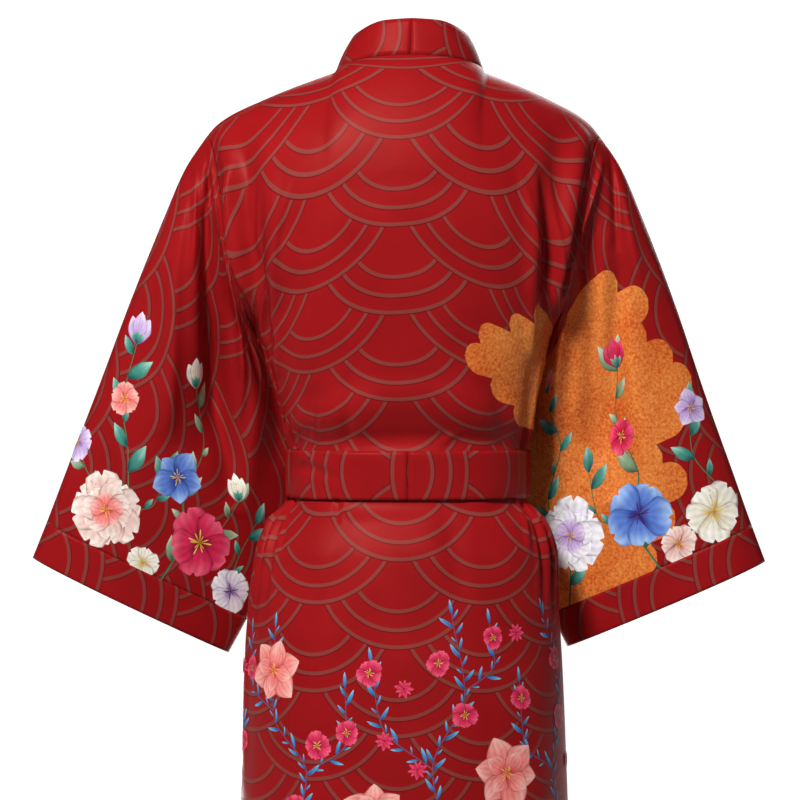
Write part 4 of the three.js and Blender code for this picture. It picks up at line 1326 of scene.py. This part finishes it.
def print_left_sleeve(chart):
    print_face(chart, [
        ("teal_leaf", 32, 26, 2, [(40, 62), (92, 84), (150, 66), (206, 38), (262, 34)]),
        ("sage_leaf", 28, 24, 2, [(40, 150), (88, 158), (140, 140), (196, 150), (248, 128)]),
        ("teal_leaf", 26, 22, 1.8, [(40, 236), (92, 226), (140, 234)]),
        ("sage_leaf", 24, 22, 1.6, [(88, 158), (110, 190), (156, 206)]),
        ("teal_leaf", 26, 22, 1.6, [(92, 84), (112, 112), (150, 116)]),
        ("sage_leaf", 22, 22, 1.6, [(92, 84), (104, 44), (134, 8)]),
    ], [
        (draw_peony, (84, 66), 39, "blush", "coral", 12),
        (draw_bellflower, (150, 128), 29, "blue", 30),
        (draw_bud, (262, 34), 80, 34, "lilac"),
        (draw_bud, (156, 206), 66, 28, "cream"),
        (draw_bud, (248, 128), 70, 32, "cream"),
        (draw_blossom, (136, 4), 21, "lilac", 8),
    ], [
        (draw_blossom, (96, 176), 36, "crimson", 40),
        (draw_blossom, (62, 232), 24, "white", 20, "dark_heart"),
        (draw_blossom, (202, 42), 17, "coral", 70),
        (draw_blossom, (50, 124), 18, "cream", 15),
    ])
    print_face(chart, [
        ("teal_leaf", 30, 26, 2, [(40, -70), (110, -84), (176, -60), (240, -66)]),
        ("sage_leaf", 26, 24, 2, [(40, -196), (104, -178), (160, -190)]),
    ], [
        (draw_peony, (100, -88), 34, "coral", "crimson", 25),
        (draw_bellflower, (188, -62), 23, "blue", 30),
        (draw_blossom, (92, -184), 30, "blush", 5),
        (draw_bud, (160, -190), 80, 30, "cream"),
    ])


def print_right_sleeve(chart):
    draw_mist(chart, SLEEVE_MIST, True)
    draw_mist(chart, SLEEVE_FRONT_MIST, True)
    print_face(chart, [
        ("teal_leaf", 30, 24, 2, [(40, 236), (94, 216), (150, 222), (214, 196), (276, 204)]),
        ("sage_leaf", 36, 28, 2.2, [(40, 120), (92, 132), (150, 108), (214, 122), (262, 104)]),
        ("teal_leaf", 28, 24, 1.8, [(40, 40), (88, 28), (140, 44), (188, 30)]),
        ("teal_leaf", 28, 24, 1.6, [(92, 132), (120, 168), (168, 166)]),
    ], [
        (draw_peony, (112, 206), 40, "white", "lilac", 18),
        (draw_bud, (262, 104), 84, 34, "crimson"),
        (draw_blossom, (74, 44), 31, "cream", 33),
        (draw_bud, (276, 204), 78, 28, "coral"),
        (draw_bellflower, (188, 30), 20, "lilac", 12),
    ], [
        (draw_blossom, (104, 122), 36, "blue", 48, "dark_heart"),
        (draw_blossom, (58, 92), 20, "blush", 20),
        (draw_blossom, (190, 118), 19, "crimson", 14),
    ])
    print_face(chart, [
        ("sage_leaf", 32, 26, 2, [(40, -120), (112, -112), (172, -92), (230, -100)]),
    ], [
        (draw_peony, (108, -114), 34, "blush", "cream", 10),
        (draw_blossom, (180, -92), 22, "crimson", 50),
        (draw_blossom, (74, -196), 26, "white", 30, "dark_heart"),
    ])


def print_back(chart):
    draw_mist(chart, BACK_MIST, False)
    print_skirt(chart, [
        ([(-44, 872), (-30, 800), (-64, 720), (-50, 640)], [(-36, 690, 13), (-64, 744, 14)]),
        ([(-30, 800), (24, 752), (34, 690)], [(36, 700, 14)]),
        ([(-64, 720), (-98, 690), (-92, 650)], [(-96, 664, 12)]),
        ([(120, 880), (104, 806), (150, 742), (148, 656)], [(92, 776, 15), (118, 840, 13)]),
        ([(104, 806), (60, 770), (62, 716)], [(60, 762, 13)]),
        ([(150, 742), (190, 716), (196, 664)], [(192, 700, 13)]),
        ([(-214, 880), (-180, 806), (-204, 736), (-166, 640)], [(-190, 690, 13), (-200, 752, 15)]),
        ([(-180, 806), (-134, 776), (-128, 712)], [(-130, 728, 13)]),
        ([(206, 900), (228, 832), (208, 760)], [(226, 820, 14), (208, 778, 11)]),
        ([(-44, 872), (-76, 920), (-66, 1000)], [(-76, 936, 14)]),
        ([(120, 880), (170, 930), (160, 1020)], [(168, 946, 15)]),
        ([(-214, 880), (-190, 950), (-212, 1030)], [(-196, 960, 15)]),
    ], [
        (-112, 806, 38, 20),
        (148, 700, 35, 44),
        (30, 846, 34, 5),
        (-150, 920, 34, 31),
        (96, 930, 32, 12),
    ], [(0, 716), (-14, 800), (84, 850), (-226, 800), (214, 700), (-124, 660), (20, 770)])


def print_front(chart, hand):
    if hand == RIGHT:
        draw_mist(chart, FRONT_MIST, False)
    print_skirt(chart, [
        ([(150, 900), (126, 820), (160, 740), (138, 656)], []),
        ([(126, 820), (70, 790), (54, 716)], [(60, 750, 15)]),
        ([(214, 900), (226, 830), (204, 754)], [(212, 790, 14)]),
        ([(150, 900), (100, 950), (120, 1030)], [(108, 966, 15)]),
    ], [
        (96, 806, 36, 20),
        (184, 856, 32, 50),
        (150, 700, 28, 5),
    ], [(110, 730), (36, 850), (196, 720)], hand)


def print_material():
    """Dye on satin: the colours of each motif, with fine veins and the same shine."""
    nodes = Nodes("print_dye")
    place = nodes.node("ShaderNodeUVMap", {"uv_map": "cut"}).outputs["UV"]
    parts = nodes.node("ShaderNodeSeparateXYZ", Vector=place)
    dye = nodes.node("ShaderNodeVertexColor", {"layer_name": "dye"}).outputs["Color"]
    grain = nodes.node("ShaderNodeTexCoord").outputs["Object"]

    def noise(scale, detail, **more):
        made = nodes.node("ShaderNodeTexNoise", Vector=grain, Scale=scale, Detail=detail, **more)
        return made.outputs["Fac"]

    spread = nodes.math("DIVIDE", parts.outputs["X"], nodes.math("ADD", parts.outputs["Y"], 0.35))
    veins = nodes.math("SINE", nodes.math("MULTIPLY", spread, 14.0))
    rim = nodes.node("ShaderNodeMapRange", {"interpolation_type": "SMOOTHSTEP"}, From_Min=0.78, To_Max=-0.4)
    nodes.put(rim.inputs["Value"], nodes.math("ABSOLUTE", parts.outputs["X"]))
    veins = nodes.math("MULTIPLY_ADD", veins, 0.09, rim.outputs["Result"])
    tone = nodes.math("ADD", veins, nodes.math("MULTIPLY_ADD", noise(120.0, 4.0), 0.6, 0.7))
    petals = nodes.blend(1.0, dye, tone, "MULTIPLY")
    specks = nodes.math("MULTIPLY", noise(330.0, 2.0, Roughness=0.7), 1.3)
    mottle = nodes.math("MULTIPLY_ADD", noise(16.0, 3.0), 0.7, specks)
    ripeness = nodes.node("ShaderNodeMapRange", Value=mottle, From_Min=0.72, From_Max=1.28)
    mist = nodes.blend(ripeness.outputs["Result"], *MIST_DYES)
    on_mist = nodes.math("LESS_THAN", parts.outputs["Y"], MIST_MARK / 2)
    colour = nodes.blend(on_mist, petals, mist)
    finish_cloth(nodes, colour, noise(900.0, 2.0), bump=0.12, roughness=0.42, specular=0.12)
    return nodes.material


# The camera sees as much of the robe as the photo does. All sizes are in millimetres.
CAMERA = {"x": 8.6, "distance": 3500, "z": -354.2, "view_width": 864, "sensor": 36, "reach": 60000}
STAGE = {"radius": 9000, "floor": -1256, "around": 96, "rings": 25, "lowest": -8}
WORLD_LIGHT = 0.03
# Lights: place and height aimed at in metres, size and power
LIGHTS = {
    "key": ((1.1, 2.6, 1.8), -0.4, (0.7, 0.7), 168),
    "back_fill": ((-0.6, 3.4, 0.2), -0.5, (1.6, 2.2), 11),
    "front_key": ((-0.7, -3.1, 0.9), -0.5, (2.4, 2.0), 85),
    "front_fill": ((0.9, -3.3, -0.5), -0.5, (1.6, 1.6), 95),
    "side_left": ((3.2, 0.2, 0.2), -0.5, (1.2, 2.0), 4),
    "side_right": ((-3.2, 0.2, 0.2), -0.5, (1.2, 2.0), 5),
}


def make_camera():
    data = bpy.data.cameras.new("camera")
    data.sensor_width = CAMERA["sensor"]
    data.lens = CAMERA["sensor"] * CAMERA["distance"] / CAMERA["view_width"]
    data.clip_end = CAMERA["reach"] * MM
    camera = bpy.data.objects.new("camera", data)
    bpy.context.scene.collection.objects.link(camera)
    camera.location = Vector((CAMERA["x"], CAMERA["distance"], CAMERA["z"])) * MM
    camera.rotation_euler = (math.pi / 2, 0, math.pi)
    bpy.context.scene.camera = camera


def make_lights():
    for name, (place, aim, size, power) in LIGHTS.items():
        data = bpy.data.lights.new(name, "AREA")
        data.shape = "RECTANGLE"
        data.size, data.size_y = size
        data.energy = power
        light = bpy.data.objects.new(name, data)
        light.location = place
        light.rotation_euler = (Vector((0, 0, aim)) - Vector(place)).to_track_quat("-Z", "Y").to_euler()
        bpy.context.scene.collection.objects.link(light)


def pale_material(name):
    nodes = Nodes(name)
    shader = nodes.node("ShaderNodeBsdfPrincipled", Base_Color=(1, 1, 1, 1), Roughness=0.8)
    shader.inputs["Emission Color"].default_value = (1, 1, 1, 1)
    shader.inputs["Emission Strength"].default_value = 1.0
    nodes.put(nodes.output.inputs["Surface"], shader.outputs["BSDF"])
    return nodes.material


def make_stage():
    """A pale round floor below the hem and a pale dome that only the camera sees."""
    around = STAGE["around"]
    angles = 2 * math.pi * np.arange(around) / around
    ring = stack(np.cos(angles), np.sin(angles), 0)
    ring = ring * STAGE["radius"] + [0, 0, STAGE["floor"]]
    floor = mesh_object("floor", ring, np.arange(around)[None, :])
    rise = np.radians(np.linspace(STAGE["lowest"], 90, STAGE["rings"]))[:, None]
    points = stack(np.cos(rise) * np.cos(angles), np.cos(rise) * np.sin(angles), np.sin(rise))
    points = points * STAGE["radius"] + [0, 0, STAGE["floor"]]
    dome = mesh_object("backdrop", points, Panel("backdrop", points, None, closed=True).faces())
    for piece in (floor, dome):
        piece.data.materials.append(pale_material("pale_" + piece.name))
        piece.visible_diffuse = False
    dome.visible_glossy = False
    dome.visible_shadow = False
    world = bpy.data.worlds.new("studio")
    world.use_nodes = True
    background = world.node_tree.nodes["Background"]
    background.inputs["Color"].default_value = (1, 1, 1, 1)
    background.inputs["Strength"].default_value = WORLD_LIGHT
    bpy.context.scene.world = world
    bpy.context.scene.view_settings.view_transform = "Standard"


make_camera()
make_stage()
make_lights()

robe_satin = satin_material("robe_satin", ROBE_PATTERN_SHIFT)
band_satin = satin_material("band_satin")
belt_satin = satin_material("belt_satin")
print_dye = print_material()

panels = {"back": make_back()}
for side, hand in (("left", LEFT), ("right", RIGHT)):
    panels["front_" + side] = make_front("front_" + side, hand)
    panels["neckband_" + side] = make_neckband("neckband_" + side, hand)
    sleeve = make_sleeve("sleeve_" + side, hand, 0, CUFF_START)
    cuff = make_sleeve("cuff_" + side, hand, CUFF_START, 1)
    sleeve_cut(cuff, 0)
    sleeve_cut(sleeve, CUFF_DEPTH)
    panels["sleeve_" + side] = sleeve
    panels["cuff_" + side] = cuff
    panels["belt_" + side] = make_belt("belt_" + side, hand)
    panels["belt_end_" + side] = make_tail("belt_end_" + side, hand)

PIECE_KINDS = {
    "back": ("robe_satin", robe_satin, CLOTH_THICKNESS),
    "front": ("robe_satin", robe_satin, CLOTH_THICKNESS),
    "sleeve": ("robe_satin", robe_satin, CLOTH_THICKNESS),
    "cuff": ("band_satin", band_satin, BAND_THICKNESS),
    "neckband": ("band_satin", band_satin, BAND_THICKNESS),
    "belt": ("belt_satin", belt_satin, BAND_THICKNESS),
}
# The solids hold some long pieces as two nodes
OTHER_NODES = {
    "back": "back_skirt",
    "front_left": "front_left_skirt",
    "front_right": "front_right_skirt",
    "sleeve_left": "sleeve_left_lower",
    "sleeve_right": "sleeve_right_lower",
    "neckband_left": "collar_left",
    "neckband_right": "collar_right",
}
PRINTS = {
    "back": (print_back,),
    "front_left": (print_front, LEFT),
    "front_right": (print_front, RIGHT),
    "sleeve_left": (print_left_sleeve,),
    "sleeve_right": (print_right_sleeve,),
}


def make_print(name, panel):
    """The flowers and mist on a panel, as a list of none or one piece."""
    if name not in PRINTS:
        return []
    chart = Chart(panel)
    draw, *values = PRINTS[name]
    draw(chart, *values)
    return [chart.make("print_" + name, print_dye)]


for name, panel in panels.items():
    slot, material, thickness = PIECE_KINDS[name.split("_")[0]]
    nodes = [node for node in (name, OTHER_NODES.get(name)) if node]
    piece = cloth_object(panel, nodes, slot, thickness, material)
    on_it = make_print(name, panel)
    width, length, area = flat_size(panel)
knot_object(belt_satin)
